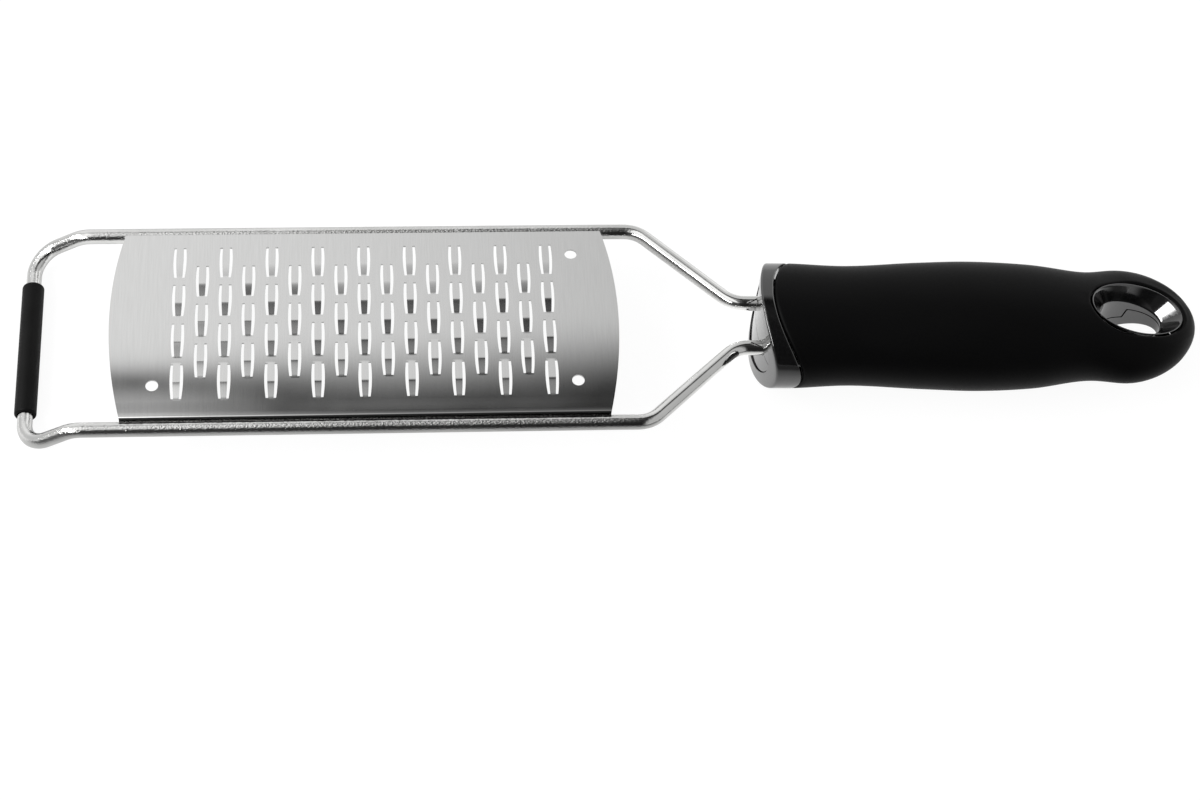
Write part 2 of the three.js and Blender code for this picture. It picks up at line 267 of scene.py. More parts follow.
def round_corner(before, corner, after, radius):
    """Points on the arc of the given radius that touches both sides of a corner."""
    before, corner, after = (np.array(point, dtype=float) for point in (before, corner, after))
    arrive, leave = unit(corner - before), unit(after - corner)
    turn = math.atan2(arrive[0] * leave[1] - arrive[1] * leave[0], arrive @ leave)
    start = corner - arrive * radius * math.tan(abs(turn) / 2)
    inward = np.array([-arrive[1], arrive[0]]) * np.sign(turn)
    angle = np.linspace(0, abs(turn), CORNER_STEPS)[:, None]
    return start + radius * (np.sin(angle) * arrive + (1 - np.cos(angle)) * inward)


def bend_flat(flat):
    """The flat plan bent in height: an arc and a slope down at the front, an eased slope at the neck."""
    x, y = flat[:, 0], flat[:, 1]
    beyond = np.maximum(0, -x - FOLD_START)
    angle = np.minimum(beyond / FOLD_RADIUS, FOLD_ANGLE)
    straight = beyond - FOLD_RADIUS * angle
    bent_x = np.maximum(x, -FOLD_START) - FOLD_RADIUS * np.sin(angle) - straight * np.cos(angle)
    front_drop = FOLD_RADIUS * (1 - np.cos(angle)) + straight * np.sin(angle)
    eased = np.clip(x - DROOP_START + DROOP_EASE, 0, 2 * DROOP_EASE)
    after = np.maximum(0, x - DROOP_START - DROOP_EASE)
    neck_drop = math.tan(DROOP_ANGLE) * (eased**2 / (4 * DROOP_EASE) + after)
    return points_at(bent_x, y, -front_drop - neck_drop)


def even_steps(path, step):
    """The same path with points at even distances along it."""
    along = np.concatenate([[0], np.cumsum(np.linalg.norm(np.diff(path, axis=0), axis=1))])
    keep = np.concatenate([[True], np.diff(along) > SAME_POINT])
    even = np.linspace(0, along[-1], int(along[-1] / step) + 1)
    return np.stack([np.interp(even, along[keep], path[keep, k]) for k in range(path.shape[1])], axis=-1)


# %% Wire path
RAIL_Y, TANG_Y, TANG_END = 31.2, 7.3, 150.0
NECK_START, NECK_END, NECK_RADIUS = 73.75, 98.15, 8.0
FRONT_LENGTH, FRONT_CORNER_RADIUS = 90.8, 7.4
PLAN_STEP, PATH_STEP = 0.5, 0.9

tang, neck_in, neck_out = (TANG_END, TANG_Y), (NECK_END, TANG_Y), (NECK_START, RAIL_Y)
front_corner = (-FRONT_LENGTH, RAIL_Y)
half_plan = np.concatenate([
    [tang],
    round_corner(tang, neck_in, neck_out, NECK_RADIUS),
    round_corner(neck_in, neck_out, front_corner, NECK_RADIUS),
    round_corner(neck_out, front_corner, (-FRONT_LENGTH, 0), FRONT_CORNER_RADIUS),
])
wire_plan = even_steps(np.concatenate([half_plan, half_plan[::-1] * [1, -1]]), PLAN_STEP)
wire_path = even_steps(bend_flat(wire_plan), PATH_STEP)
print("wire path:", len(wire_path), "points")

# %% Wire tube
WIRE_DIAMETER, WIRE_SIDES = 4.0, 28


def full_circle(count):
    """Even angles once round, without the last one, which would repeat the first."""
    return np.linspace(0, 2 * math.pi, count, endpoint=False)


def tube_along(path, radius, sides):
    """A circle carried along a path that never stands upright, its own up leaning with the path."""
    ahead = unit(np.gradient(path, axis=0))
    side = unit(np.cross([0, 0, 1], ahead))
    up = np.cross(ahead, side)
    turn = full_circle(sides)[:, None]
    return path[:, None] + radius * (np.cos(turn) * side[:, None] + np.sin(turn) * up[:, None])


def capped_tube(rings):
    """Rings joined into a tube, with both ends drawn together to a point."""
    first, last = (np.broadcast_to(ring.mean(axis=0), ring.shape) for ring in (rings[0], rings[-1]))
    return patch(np.concatenate([first[None], rings, last[None]]), wrap_columns=True)


wire_points, wire_quads = capped_tube(tube_along(wire_path, WIRE_DIAMETER / 2, WIRE_SIDES))
print("wire tube:", len(wire_quads), "faces")

# %% [markdown]
# The wire is polished steel, drawn through a die and then plated, so its mirror is slightly wavy: the
# dark and bright streaks along it break up into small specks, more so along the blade than at the neck.
# A smooth mirror would look like chromed plastic. Waves of this size are too small to model, so a low,
# fine bump gives them, and the roughness changes a little from place to place.

# %% Polished wire
PLATING_DARK, PLATING_LIGHT = (0.66, 0.66, 0.65), (0.76, 0.76, 0.75)
SPECK_MM, PLATING_MM, SPECK_HEIGHT = (0.6, 0.36, 0.36), (14, 6, 6), 0.07
SPECKS_AT_BLADE, SPECKS_AT_NECK = 0.95, 0.15
SPECKS_FADE_FROM, SPECKS_FADE_TO = -0.004, 0.012

polished_wire, tree, shader, place = start_finish("polished_wire")
specks = noise(tree, place, SPECK_MM, detail=3.0)
plating = noise(tree, place, PLATING_MM)
along = add_node(tree, "ShaderNodeSeparateXYZ", {"Vector": place}).outputs["X"]
speck_strength = ramp_between(tree, along, SPECKS_FADE_FROM, SPECKS_FADE_TO, SPECKS_AT_BLADE, SPECKS_AT_NECK)
fill_sockets(tree, shader, {
    "Metallic": 1.0,
    "Base Color": shade_between(tree, plating, PLATING_DARK, PLATING_LIGHT),
    "Roughness": value_between(tree, specks, 0.03, 0.07),
    "Normal": bumps(tree, specks, SPECK_HEIGHT, speck_strength),
})
make_piece("bent_wire", "wire_frame", polished_wire,
           closed_shell(on_table(wire_points), wire_quads))

# %% [markdown]
# The foot is a length of rubber tube pushed over the cross bar. A Screw modifier could turn its profile,
# but the same turn is one short formula: a snug bore, rounded rims that flare a little where the wire
# comes out, and a plain outside, carried round the bar.

# %% Rubber sleeve
SLEEVE_LENGTH, SLEEVE_DIAMETER, SLEEVE_Y = 41.6, 5.8, -0.4
SLEEVE_BORE, SLEEVE_FLARE, SLEEVE_RIM = 2.04, 0.3, 0.7
FLARE_FROM_END, FLARE_RUN = 2.5, 2.4
FLARE_STEPS, RIM_STEPS, SLEEVE_SIDES = 7, 9, 48


def turned_about_y(radius, along, centre, sides):
    """A closed profile of radius and distance along Y, turned about a line through the centre."""
    turn = full_circle(sides)
    x = centre[0] + radius[:, None] * np.cos(turn)
    y = centre[1] + along[:, None]
    z = centre[2] + radius[:, None] * np.sin(turn)
    return patch(points_at(x, y, z), wrap_rows=True, wrap_columns=True)


flare = np.linspace(0, 1, FLARE_STEPS)
quarter = np.linspace(0, math.pi / 2, RIM_STEPS)
bore_radius = SLEEVE_BORE + SLEEVE_FLARE * flare**2
bore_along = SLEEVE_LENGTH / 2 - FLARE_FROM_END + FLARE_RUN * flare
rim_radius = SLEEVE_DIAMETER / 2 - SLEEVE_RIM + SLEEVE_RIM * np.sin(quarter)
rim_along = SLEEVE_LENGTH / 2 - SLEEVE_RIM + SLEEVE_RIM * np.cos(quarter)
half_radius, half_along = np.append(bore_radius, rim_radius), np.append(bore_along, rim_along)
profile_radius = np.append(half_radius, half_radius[::-1])
profile_along = np.append(half_along, -half_along[::-1])
foot_centre = bend_flat(np.array([[-FRONT_LENGTH, SLEEVE_Y]]))[0]
sleeve_points, sleeve_quads = turned_about_y(profile_radius, profile_along, foot_centre, SLEEVE_SIDES)
print("foot bar at", np.round(foot_centre, 2).tolist(), "mm")

# %% [markdown]
# Rubber of this kind is matt and nearly black, with a faint dusty bloom. One flat black would read as a
# hole in the picture, so noise moves its colour and its roughness a little, and a fine bump keeps its
# soft highlight from looking like plastic.

# %% Matt rubber
RUBBER_DARK, RUBBER_LIGHT = (0.002, 0.002, 0.002), (0.0036, 0.0036, 0.0036)
RUBBER_GRAIN_MM, BLOOM_MM, RUBBER_GRAIN_HEIGHT = (0.5, 0.5, 0.5), (5, 7, 5), 0.03

matt_rubber, tree, shader, place = start_finish("matt_rubber")
grain = noise(tree, place, RUBBER_GRAIN_MM, detail=3.0)
bloom = noise(tree, place, BLOOM_MM)
fill_sockets(tree, shader, {
    "Base Color": shade_between(tree, bloom, RUBBER_DARK, RUBBER_LIGHT),
    "Roughness": value_between(tree, grain, 0.45, 0.62),
    "Specular IOR Level": 0.13,
    "Normal": bumps(tree, grain, RUBBER_GRAIN_HEIGHT, 0.4),
})
make_piece("rubber_sleeve", "foot_sleeve", matt_rubber,
           closed_shell(on_table(sleeve_points), sleeve_quads))

# %% [markdown]
# The blade is half-millimetre sheet: a shallow arch with both edges bent down between the rails. Its
# teeth are narrow ribbons, freed by two slits each and pressed up out of the sheet. Boolean cuts would
# leave ragged faces round every slit, so one grid makes all of it. Its lines across the blade fall on the
# ends of every slit, its lines along the blade bow with the slits, the faces inside the slits are left
# out, and the points of each ribbon are lifted.

# %% Blade section
BLADE_LENGTH, BLADE_BULGE = 127.0, 3.35
SHEET = 0.5
ARCH_RADIUS, BLADE_APEX = 280.0, 4.57
FLANGE_Y, FLANGE_BOTTOM, FLANGE_LEAN = 29.45, -1.45, math.radians(6)
BEND_RADIUS, EDGE_SHEET = 0.55, 0.3
MARGIN_START, NEAR_MARGIN = 25.6, 0.45
ARCH_END = (FLANGE_Y - BEND_RADIUS) / (1 - BEND_RADIUS / ARCH_RADIUS)
BEND_START, BEND_END = math.asin(ARCH_END / ARCH_RADIUS), math.pi / 2 + FLANGE_LEAN
BEND_RUN = BEND_RADIUS * (BEND_END - BEND_START)


def arch_height(y):
    """Height of the arch: its crown less the drop of a circle of the arch radius."""
    return BLADE_APEX - ARCH_RADIUS + np.sqrt(ARCH_RADIUS**2 - y**2)


BEND_Z = float(arch_height(ARCH_END)) - BEND_RADIUS * math.cos(BEND_START)
FLANGE_RUN = (BEND_Z + BEND_RADIUS * math.cos(BEND_END) - FLANGE_BOTTOM) / math.cos(FLANGE_LEAN)


def blade_section(across):
    """Y, Z and outward normal at a distance across the sheet: a wide circle, a small circle round the
    bend, and a straight flange that leans in a little. The near margin is slightly wider."""
    side, reach = np.sign(across), np.abs(across)
    on_arch = np.minimum(reach, ARCH_END)
    turn = BEND_START + np.clip((reach - ARCH_END) / BEND_RUN, 0, 1) * (BEND_END - BEND_START)
    turn = np.where(reach < ARCH_END, np.arcsin(on_arch / ARCH_RADIUS), turn)
    below = np.maximum(0, reach - ARCH_END - BEND_RUN)
    bent = reach > ARCH_END
    bend_y = FLANGE_Y - BEND_RADIUS + BEND_RADIUS * np.sin(turn) - below * math.sin(FLANGE_LEAN)
    bend_z = BEND_Z + BEND_RADIUS * np.cos(turn) - below * math.cos(FLANGE_LEAN)
    y = np.where(bent, bend_y, on_arch)
    y = y + (side < 0) * NEAR_MARGIN * np.clip((reach - MARGIN_START) / (ARCH_END - MARGIN_START), 0, 1)
    z = np.where(bent, bend_z, arch_height(on_arch))
    return side * y, z, side * np.sin(turn), np.cos(turn)


print("flange below the bend:", round(FLANGE_RUN, 2), "mm")

# %% Blade grid lines
TOOTH_COLUMNS, TOOTH_ROWS = 9, 4
COLUMN_PITCH, ROW_PITCH = 12.17, 12.8
SLIT_HALF = 5.2
END_STEPS = 20
column_count = 2 * TOOTH_COLUMNS - 1
half_row = ROW_PITCH / 2


def lines_between(*stops):
    """Lines from each stop to the next, given as pairs of a place and the number of steps up to it."""
    pieces = [np.linspace(a, b, count, endpoint=False) for (a, _), (b, count) in zip(stops, stops[1:])]
    return np.concatenate([*pieces, [stops[-1][0]]])


one_half_row = lines_between((0, 0), (half_row - SLIT_HALF, 2), (SLIT_HALF, 8), (half_row, 2))[:-1]
field = np.concatenate([one_half_row + k * half_row for k in range(TOOTH_ROWS)])
flange_start = ARCH_END + BEND_RUN
edge = lines_between(
    (TOOTH_ROWS * half_row, 0), (ARCH_END, 3), (flange_start, 10), (flange_start + FLANGE_RUN, 4))
upper_lines = np.concatenate([field, edge])
across_lines = np.concatenate([-upper_lines[:0:-1], upper_lines])

# Each line along a column lies at a share of the ribbon's edge, of the opening's edge and of half a column
line_weights = np.array([
    [0, 0, -1], [0, -0.5, -0.5], [0, -1, 0], [-1, 0, 0], [-0.5, 0, 0],
    [0, 0, 0], [0.5, 0, 0], [1, 0, 0], [0, 1, 0], [0, 0.5, 0.5],
])
column_of_line = np.append(np.repeat(np.arange(column_count), len(line_weights)), column_count - 1)
weights = np.concatenate([np.tile(line_weights, (column_count, 1)), [[0, 0, 1]]])
print("blade grid:", len(across_lines), "lines across,", len(weights) + 2 * END_STEPS, "lines along")

# %% Ribbon teeth
RIBBON_CREST, CREASE_SHARE, CREASE_POWER = -0.6, 0.5, 7


def nearest_tooth(across, column):
    """Row number of the nearest tooth in a column, and the distance from its middle."""
    rows = TOOTH_ROWS - column % 2
    first = -(rows - 1) / 2 * ROW_PITCH
    row = np.clip(np.round((across - first) / ROW_PITCH), 0, rows - 1)
    return row, across - first - row * ROW_PITCH


def bow(offset):
    """One in the middle of a slit, falling to zero at its ends and beyond, as a parabola."""
    return np.maximum(0, 1 - (offset / SLIT_HALF) ** 2)


def taper(offset):
    """From minus one at a slit's near end to one at its far end, and back to zero between two teeth."""
    inside = offset / SLIT_HALF
    outside = np.sign(offset) * np.maximum(0, (half_row - np.abs(offset)) / (half_row - SLIT_HALF))
    return np.where(np.abs(offset) < SLIT_HALF, inside, outside)


def ribbon_lift(offset, rise):
    """A straight flank from the far end to the crease, then a flank whose slope starts low and soon is
    even: its slope is one less a share of the sixth power of what is left of it."""
    far = np.clip((SLIT_HALF - offset) / (SLIT_HALF - RIBBON_CREST), 0, 1)
    t = np.clip((RIBBON_CREST - offset) / (SLIT_HALF + RIBBON_CREST), 0, 1)
    soft = CREASE_SHARE / CREASE_POWER
    near = 1 - (t - soft * (1 - (1 - t) ** CREASE_POWER)) / (1 - soft)
    return rise * np.minimum(far, near)


across, column = np.meshgrid(across_lines, column_of_line, indexing="ij")
tooth_row, offset = nearest_tooth(across, column)
print("teeth:", TOOTH_COLUMNS * TOOTH_ROWS + (TOOTH_COLUMNS - 1) * (TOOTH_ROWS - 1), "in staggered rows")

# %% Blade field
FIELD_X = -0.27
RIBBON_END, RIBBON_MIDDLE = 0.80, 0.94
OPENING_END, OPENING_MIDDLE = 1.44, 1.74
SLIT_TAPER = 0.10
RIBBON_RISE, RISE_SPREAD = 0.57, 0.15
SPREAD_BY_ROW, SPREAD_BY_COLUMN = 5.3, 2.9
LOWER_FROM, LOWER_PER_MM = 6.4, 0.014
COLUMN_HALF = COLUMN_PITCH / 4

slit_taper = SLIT_TAPER * taper(offset)
ribbon_edge = RIBBON_END + (RIBBON_MIDDLE - RIBBON_END) * bow(offset) + slit_taper
opening_edge = OPENING_END + (OPENING_MIDDLE - OPENING_END) * bow(offset) + slit_taper
column_x = FIELD_X + (column - (column_count - 1) / 2) * COLUMN_PITCH / 2
from_column = weights[:, 0] * ribbon_edge + weights[:, 1] * opening_edge + weights[:, 2] * COLUMN_HALF
field_x = column_x + from_column
on_ribbon = (weights[:, 1] == 0) & (weights[:, 2] == 0)
spread = RISE_SPREAD * np.sin(SPREAD_BY_ROW * tooth_row + SPREAD_BY_COLUMN * column)
lower = LOWER_PER_MM * np.maximum(0, across - offset - LOWER_FROM)
rise = RIBBON_RISE * (1 + spread) * (1 - lower)
field_lift = np.where(on_ribbon, ribbon_lift(offset, rise), 0)
print("teeth rise from", round(float(rise.min()), 2), "to", round(float(rise.max()), 2), "mm")

# %% Blade surface
RIBBON_SHEET = 0.4


def blade_points(x, across, raised):
    """Points at x and a distance across the sheet, raised along the sheet's normal."""
    y, z, out_y, out_z = blade_section(across)
    return points_at(x, y + out_y * raised, z + out_z * raised).reshape(-1, 3)


section_y = blade_section(across_lines)[0]
end_radius = (FLANGE_Y**2 + BLADE_BULGE**2) / (2 * BLADE_BULGE)
end_x = (BLADE_LENGTH / 2 + BLADE_BULGE - end_radius + np.sqrt(end_radius**2 - section_y**2))[:, None]
field_edge = column_count * COLUMN_HALF
share = np.linspace(0, 1, END_STEPS + 1)[1:]
right_x = FIELD_X + field_edge + (end_x - field_edge - FIELD_X) * share
left_x = FIELD_X - field_edge - (end_x - field_edge + FIELD_X) * share
grid_x = np.concatenate([left_x[:, ::-1], field_x, right_x], axis=1)
lift = np.pad(field_lift, ((0, 0), (END_STEPS, END_STEPS)))
ribbon_lines = np.pad(on_ribbon, END_STEPS)

row_across = np.broadcast_to(across_lines[:, None], grid_x.shape)
thickness = np.where(ribbon_lines & (lift > 0), RIBBON_SHEET, SHEET)
thickness = np.where(np.abs(row_across) > ARCH_END, EDGE_SHEET, thickness)
blade_top = blade_points(grid_x, row_across, lift)
blade_under = blade_points(grid_x, row_across, lift - thickness)
print("blade ends at", round(float(left_x.min()), 2), "and", round(float(right_x.max()), 2), "mm")

# %% Slits
rows, columns = grid_x.shape
between_lines = (across_lines[:-1] + across_lines[1:]) / 2
_, middle_offset = nearest_tooth(between_lines[:, None], column_of_line[:-1])
left, right = weights[:-1], weights[1:]
beside_ribbon = ((left[:, 1] == -1) & (right[:, 0] == -1)) | ((left[:, 0] == 1) & (right[:, 1] == 1))
opened = np.zeros((rows - 1, columns - 1), bool)
opened[:, END_STEPS:-END_STEPS] = beside_ribbon & (np.abs(middle_offset) < SLIT_HALF)
print("faces left out for slits:", int(opened.sum()))

# %% Round holes
HOLE_DIAMETER, HOLE_FROM_END = 3.3, 8.3
NEAR_HOLE_Y, FAR_HOLE_Y = -20.3, 20.9
HOLE_REACH, HOLE_STEPS = 0.85, 4


def hole_block(x, y):
    """Rows and columns of the grid block around a hole, a little wider than the hole on every side."""
    reach = HOLE_DIAMETER * HOLE_REACH
    row_near = np.flatnonzero(np.abs(across_lines - y) < reach)
    column_near = np.flatnonzero(np.abs(grid_x[row_near].mean(axis=0) - x) < reach)
    return row_near, column_near


def block_rim(r, c, width):
    """Grid numbers of the points around a block of rows and columns, once round."""
    return np.concatenate([
        r[:-1] * width + c[0], r[-1] * width + c[:-1], r[:0:-1] * width + c[-1], r[0] * width + c[:0:-1],
    ])


def hole_patch(x, y, rim):
    """Rings of points from a block's rim in to a circle, each rim point going straight to the circle."""
    flat_x, flat_across = grid_x.reshape(-1)[rim], row_across.reshape(-1)[rim]
    angle = np.arctan2(flat_across - y, flat_x - x)
    circle_x, circle_across = x + HOLE_DIAMETER / 2 * np.cos(angle), y + HOLE_DIAMETER / 2 * np.sin(angle)
    share = np.linspace(0, 1, HOLE_STEPS + 1)[:, None]
    ring_x = flat_x + (circle_x - flat_x) * share
    ring_across = flat_across + (circle_across - flat_across) * share
    quads = grid_quads(HOLE_STEPS + 1, len(rim), wrap_columns=True)[:, ::-1]
    return [(blade_points(ring_x, ring_across, raised), quads) for raised in (0.0, -SHEET)]


hole_x = BLADE_LENGTH / 2 - HOLE_FROM_END
hole_patches = []
for x, y in ((hole_x, FAR_HOLE_Y), (hole_x, NEAR_HOLE_Y), (-hole_x, NEAR_HOLE_Y)):
    r, c = hole_block(x, y)
    opened[r[0]:r[-1], c[0]:c[-1]] = True
    hole_patches.append(hole_patch(x, y, block_rim(r, c, columns)))
open_quads = grid_quads(rows, columns)[~opened.reshape(-1)]
blade_top, sheet_quads = join_patches((blade_top, open_quads), *(top for top, _ in hole_patches))
blade_under, _ = join_patches((blade_under, open_quads), *(under for _, under in hole_patches))
print("faces left out for slits and holes:", int(opened.sum()))


# %% Blade plate
def plate(top, under, quads):
    """Two matching skins and a wall along every edge that only one face has."""
    first, number = same_places(top, WELD / MM)
    top, under, quads = top[first], under[first], number[quads]
    edges = np.concatenate([quads[:, [k, (k + 1) % 4]] for k in range(4)])
    _, found, uses = np.unique(np.sort(edges, axis=1), axis=0, return_index=True, return_counts=True)
    free = edges[found[uses == 1]]
    count = len(top)
    walls = np.stack([free[:, 1], free[:, 0], free[:, 0] + count, free[:, 1] + count], axis=1)
    return np.concatenate([top, under]), np.concatenate([quads, quads[:, ::-1] + count, walls])


blade_shell, blade_quads = plate(blade_top, blade_under, sheet_quads)
print("blade plate:", len(blade_quads), "faces")

# %% [markdown]
# The blade's satin comes from fine rolling marks. They are far too small to model, so the shader's
# roughness spreads the reflection, a stretched noise lets it vary in faint streaks, and a slight change
# of tone keeps the wide plain ends from looking like painted card. The bend along the near edge has a
# low roughness and a painted highlight, a line brighter than the steel's own colour. The flange and hem
# under it carry painted shade, with a pale line of plain steel between them. These lines run level
# with the wire, so they are read off the height over it.

# %% Painted light and shade along the near edge of the blade
# Heights over the wire in mm and the painted tone there: painted shade on the hem, a pale line, painted
# shade on the flange, a painted highlight on the bend, then the plain sheet
NEAR_EDGE_PAINTED_TONES = [
    (1.3, 0.05), (1.45, 0.1), (1.55, 1.0), (1.7, 1.0), (1.85, 0.12), (2.75, 0.12), (2.88, 1.45),
    (3.05, 1.45), (3.12, 1.0),
]
FAR_SIDE_LIFT, MIDDLE_BAND = 6.0, 0.01


def calculate(tree, operation, first, *others):
    """The same arithmetic step on two or more node outputs or plain numbers, one after another."""
    result = first
    for other in others:
        result = add_node(tree, "ShaderNodeMath", {0: result, 1: other}, operation=operation).outputs["Value"]
    return result


def grey_along(tree, value, rows):
    """The shade of grey at a value, read off rows of a value and a shade."""
    first, last = rows[0][0], rows[-1][0]
    stops = [((at - first) / (last - first), (shade, shade, shade, 1)) for at, shade in rows]
    return colour_stops(tree, ramp_between(tree, value, first, last, 0.0, 1.0), stops)["Color"]


satin_steel, tree, shader, place = start_finish("satin_steel")
# The wire's own up in the frame, stretched so that heights come out in mm
up_from_wire = (-math.sin(REST_ANGLE) / MM, 0, math.cos(REST_ANGLE) / MM)
wire_height = REST_SHIFT[2] * math.cos(REST_ANGLE) - REST_SHIFT[0] * math.sin(REST_ANGLE)
height = add_node(tree, "ShaderNodeVectorMath", {0: place, 1: up_from_wire}, operation="DOT_PRODUCT")
# The far side is lifted past the painted bands, so only the near edge gets the painted shade and highlight
to_far_side = add_node(tree, "ShaderNodeSeparateXYZ", {"Vector": place}).outputs["Y"]
far_side = ramp_between(tree, to_far_side, -MIDDLE_BAND, MIDDLE_BAND, 0.0, FAR_SIDE_LIFT)
near_height = calculate(tree, "ADD", height.outputs["Value"], far_side)
painted_edge_rows = [(wire_height + at, tone) for at, tone in NEAR_EDGE_PAINTED_TONES]
painted_edge_light_and_shade = grey_along(tree, near_height, painted_edge_rows)
print("wire plane", round(float(wire_height), 2), "mm from the frame's origin")

# %% Satin blade steel
STEEL_DARK, STEEL_LIGHT = (0.645, 0.645, 0.64), (0.68, 0.68, 0.675)
STREAK_MM, CLOUD_MM, STREAK_HEIGHT = (0.35, 9.0, 9.0), (16, 16, 16), 0.003
BEND_GLOSS = 0.05

streaks = noise(tree, place, STREAK_MM, detail=3.0)
clouds = noise(tree, place, CLOUD_MM)
rolled = shade_between(tree, streaks, STEEL_DARK, STEEL_LIGHT)
# Base colour: the rolled steel times the painted shade and painted highlight along the near edge
rolled_with_painted_edge = add_node(tree, "ShaderNodeVectorMath", {0: rolled, "Scale": painted_edge_light_and_shade}, operation="SCALE")
satin = value_between(tree, clouds, 0.09, 0.12)
(bend_top, _), (sheet_start, _) = painted_edge_rows[-2:]
fill_sockets(tree, shader, {
    "Metallic": 1.0,
    "Base Color": rolled_with_painted_edge.outputs["Vector"],
    "Roughness": ramp_between(tree, near_height, bend_top, sheet_start, BEND_GLOSS, satin),
    "Normal": bumps(tree, streaks, STREAK_HEIGHT, 0.28),
})
make_piece("ribbon_blade", "blade", satin_steel,
           closed_shell(on_table(blade_shell), blade_quads))

# %% [markdown]
# The handle is a moulded form with a waist, a swell and a round tail. It could be sculpted, but a few
# measured stations say it better: its sections are ellipses whose width and height follow a smooth curve
# through the stations, and its tail is half an ellipsoid. It is drawn on its own axis, which droops a
# little with the wire's neck. Two parameters cover it: a run along the handle, which goes on round the
# tail as an angle, and an angle about the axis.

# %% Handle sections
HANDLE_FRONT, HANDLE_LENGTH, TAIL_LENGTH = 103.8, 120.8, 20.6
HANDLE_WIDTH, HANDLE_HEIGHT = 37.2, 29.26
STATION_AT = np.array([-0.03, 0.07, 0.2, 0.37, 0.49, 0.62, 0.755])
STATION_WIDE = np.array([0.962, 0.968, 0.919, 0.973, 1.0, 0.957, 0.844, 0.919])
STATION_HIGH = np.array([0.956, 0.956, 0.942, 0.983, 1.0, 0.962, 0.819, 0.703])
HANDLE_END = HANDLE_FRONT + HANDLE_LENGTH
TAIL_START = HANDLE_END - TAIL_LENGTH
SWAY_AT = np.array([112.0, 130.0, 148.0, 180.0, 188.0, 195.0, 207.0, 211.0, 215.0, 219.5, 222.0, HANDLE_END])
SWAY = np.array([0.0, 0.1, 0.2, 0.2, 0.3, 0.3, 0.3, 0.4, 0.5, 0.65, 0.75, 0.8])
EXTRA_WIDE = np.array([0.0, 0.05, 0.15, 0.2, 0.3, 0.25, 0.2, 0.0, -0.3, -0.76, -1.3, -1.8])
station_x = np.append(HANDLE_FRONT + STATION_AT * HANDLE_LENGTH, TAIL_START)


def smooth_through(x, knots, values):
    """A cubic curve through the knots whose slope at each knot is that of its two neighbours, and which
    ends level."""
    x = np.clip(x, knots[0], knots[-1])
    slopes = np.gradient(values, knots)
    slopes[-1] = 0.0
    i = np.clip(np.searchsorted(knots, x, side="right") - 1, 0, len(knots) - 2)
    width = knots[i + 1] - knots[i]
    t = (x - knots[i]) / width
    rise = values[i + 1] - values[i]
    a = slopes[i] * width - rise
    b = rise - slopes[i + 1] * width
    return values[i] + t * rise + t * (1 - t) * (a * (1 - t) + b * t)


def half_sizes(x):
    """Half width and half height of the handle's section at x, before the tail rounds off."""
    wide = smooth_through(x, station_x, STATION_WIDE) * HANDLE_WIDTH / 2
    high = smooth_through(x, station_x, STATION_HIGH) * HANDLE_HEIGHT / 2
    return wide + smooth_through(x, SWAY_AT, EXTRA_WIDE), high


def sway(x):
    """How far the handle's middle line stands to the far side: the real one is not quite symmetrical."""
    return smooth_through(x, SWAY_AT, SWAY)


print("handle from", HANDLE_FRONT, "to", round(HANDLE_END, 1), "mm along the wire")

# %% Handle surface
LAST_RUN = TAIL_START + TAIL_LENGTH * math.pi / 2


def tail_share(x):
    """Zero up to the start of the tail, one at its end."""
    return np.clip((x - TAIL_START) / TAIL_LENGTH, 0, 1)


def handle_surface(run, angle, inset=0.0):
    """A point on the handle: its section's ellipse at that run, drawn in by an even inset. The run goes
    straight along the handle, and then round the tail, where the section shrinks."""
    round_tail = np.clip((run - TAIL_START) / TAIL_LENGTH, 0, math.pi / 2)
    x = np.minimum(run, TAIL_START) + TAIL_LENGTH * np.sin(round_tail)
    left = np.cos(round_tail)
    wide, high = half_sizes(x)
    y = sway(x) + (wide - inset) * left * np.cos(angle)
    z = (high - inset) * left * np.sin(angle)
    return points_at(x - inset * tail_share(x), y, z)


def skin_at(x, y, side):
    """The handle's two parameters where its skin stands over or under a place in the plan."""
    wide, _ = half_sizes(x)
    y = y - sway(x)
    tail = tail_share(x)
    left = np.sqrt(1 - tail**2)
    rise = np.sqrt(np.maximum(0, left**2 - (y / wide) ** 2))
    run = np.minimum(x, TAIL_START) + TAIL_LENGTH * np.arcsin(tail)
    return run, np.arctan2(side * rise, y / wide) % (2 * math.pi)


def handle_on_table(points):
    """Handle millimetres to frame metres: a turn about the line where the wire starts to droop, and then
    the grater's own way to the table."""
    x, y, z = np.moveaxis(points, -1, 0)
    cos, sin = math.cos(DROOP_ANGLE), math.sin(DROOP_ANGLE)
    run = x - DROOP_START
    return on_table(points_at(DROOP_START + run * cos + z * sin, y, -run * sin + z * cos))


tail_tip = handle_on_table(handle_surface(np.array(LAST_RUN), 0.0))
print("tail ends at", np.round(tail_tip, 4).tolist(), "m")

# %% [markdown]
# The eye in the tail is a straight oval throat between two flared mouths. A bevelled boolean cut could
# make it, but its rim would not lie where it was measured. So a mouth is a ruled surface: straight lines
# join the oval at the end of the throat to the wider oval of its rim. Both ovals slope with the tail, and
# the rim lies a little deeper than the handle's skin, so the soft skin dips to it.

# %% Eye form
THROAT_X, THROAT_LENGTH, THROAT_WIDTH = 205.83, 17.86, 10.7
THROAT_TOP, THROAT_TOP_SLOPE = 4.26, 0.293
THROAT_BOTTOM, THROAT_BOTTOM_SLOPE = 6.2, 0.34
RIM_X, RIM_LENGTH, RIM_WIDTH = 206.76, 25.48, 15.6
RIM_HEIGHT, RIM_SLOPE = 8.70, 0.245
TOP, BOTTOM = 1, -1


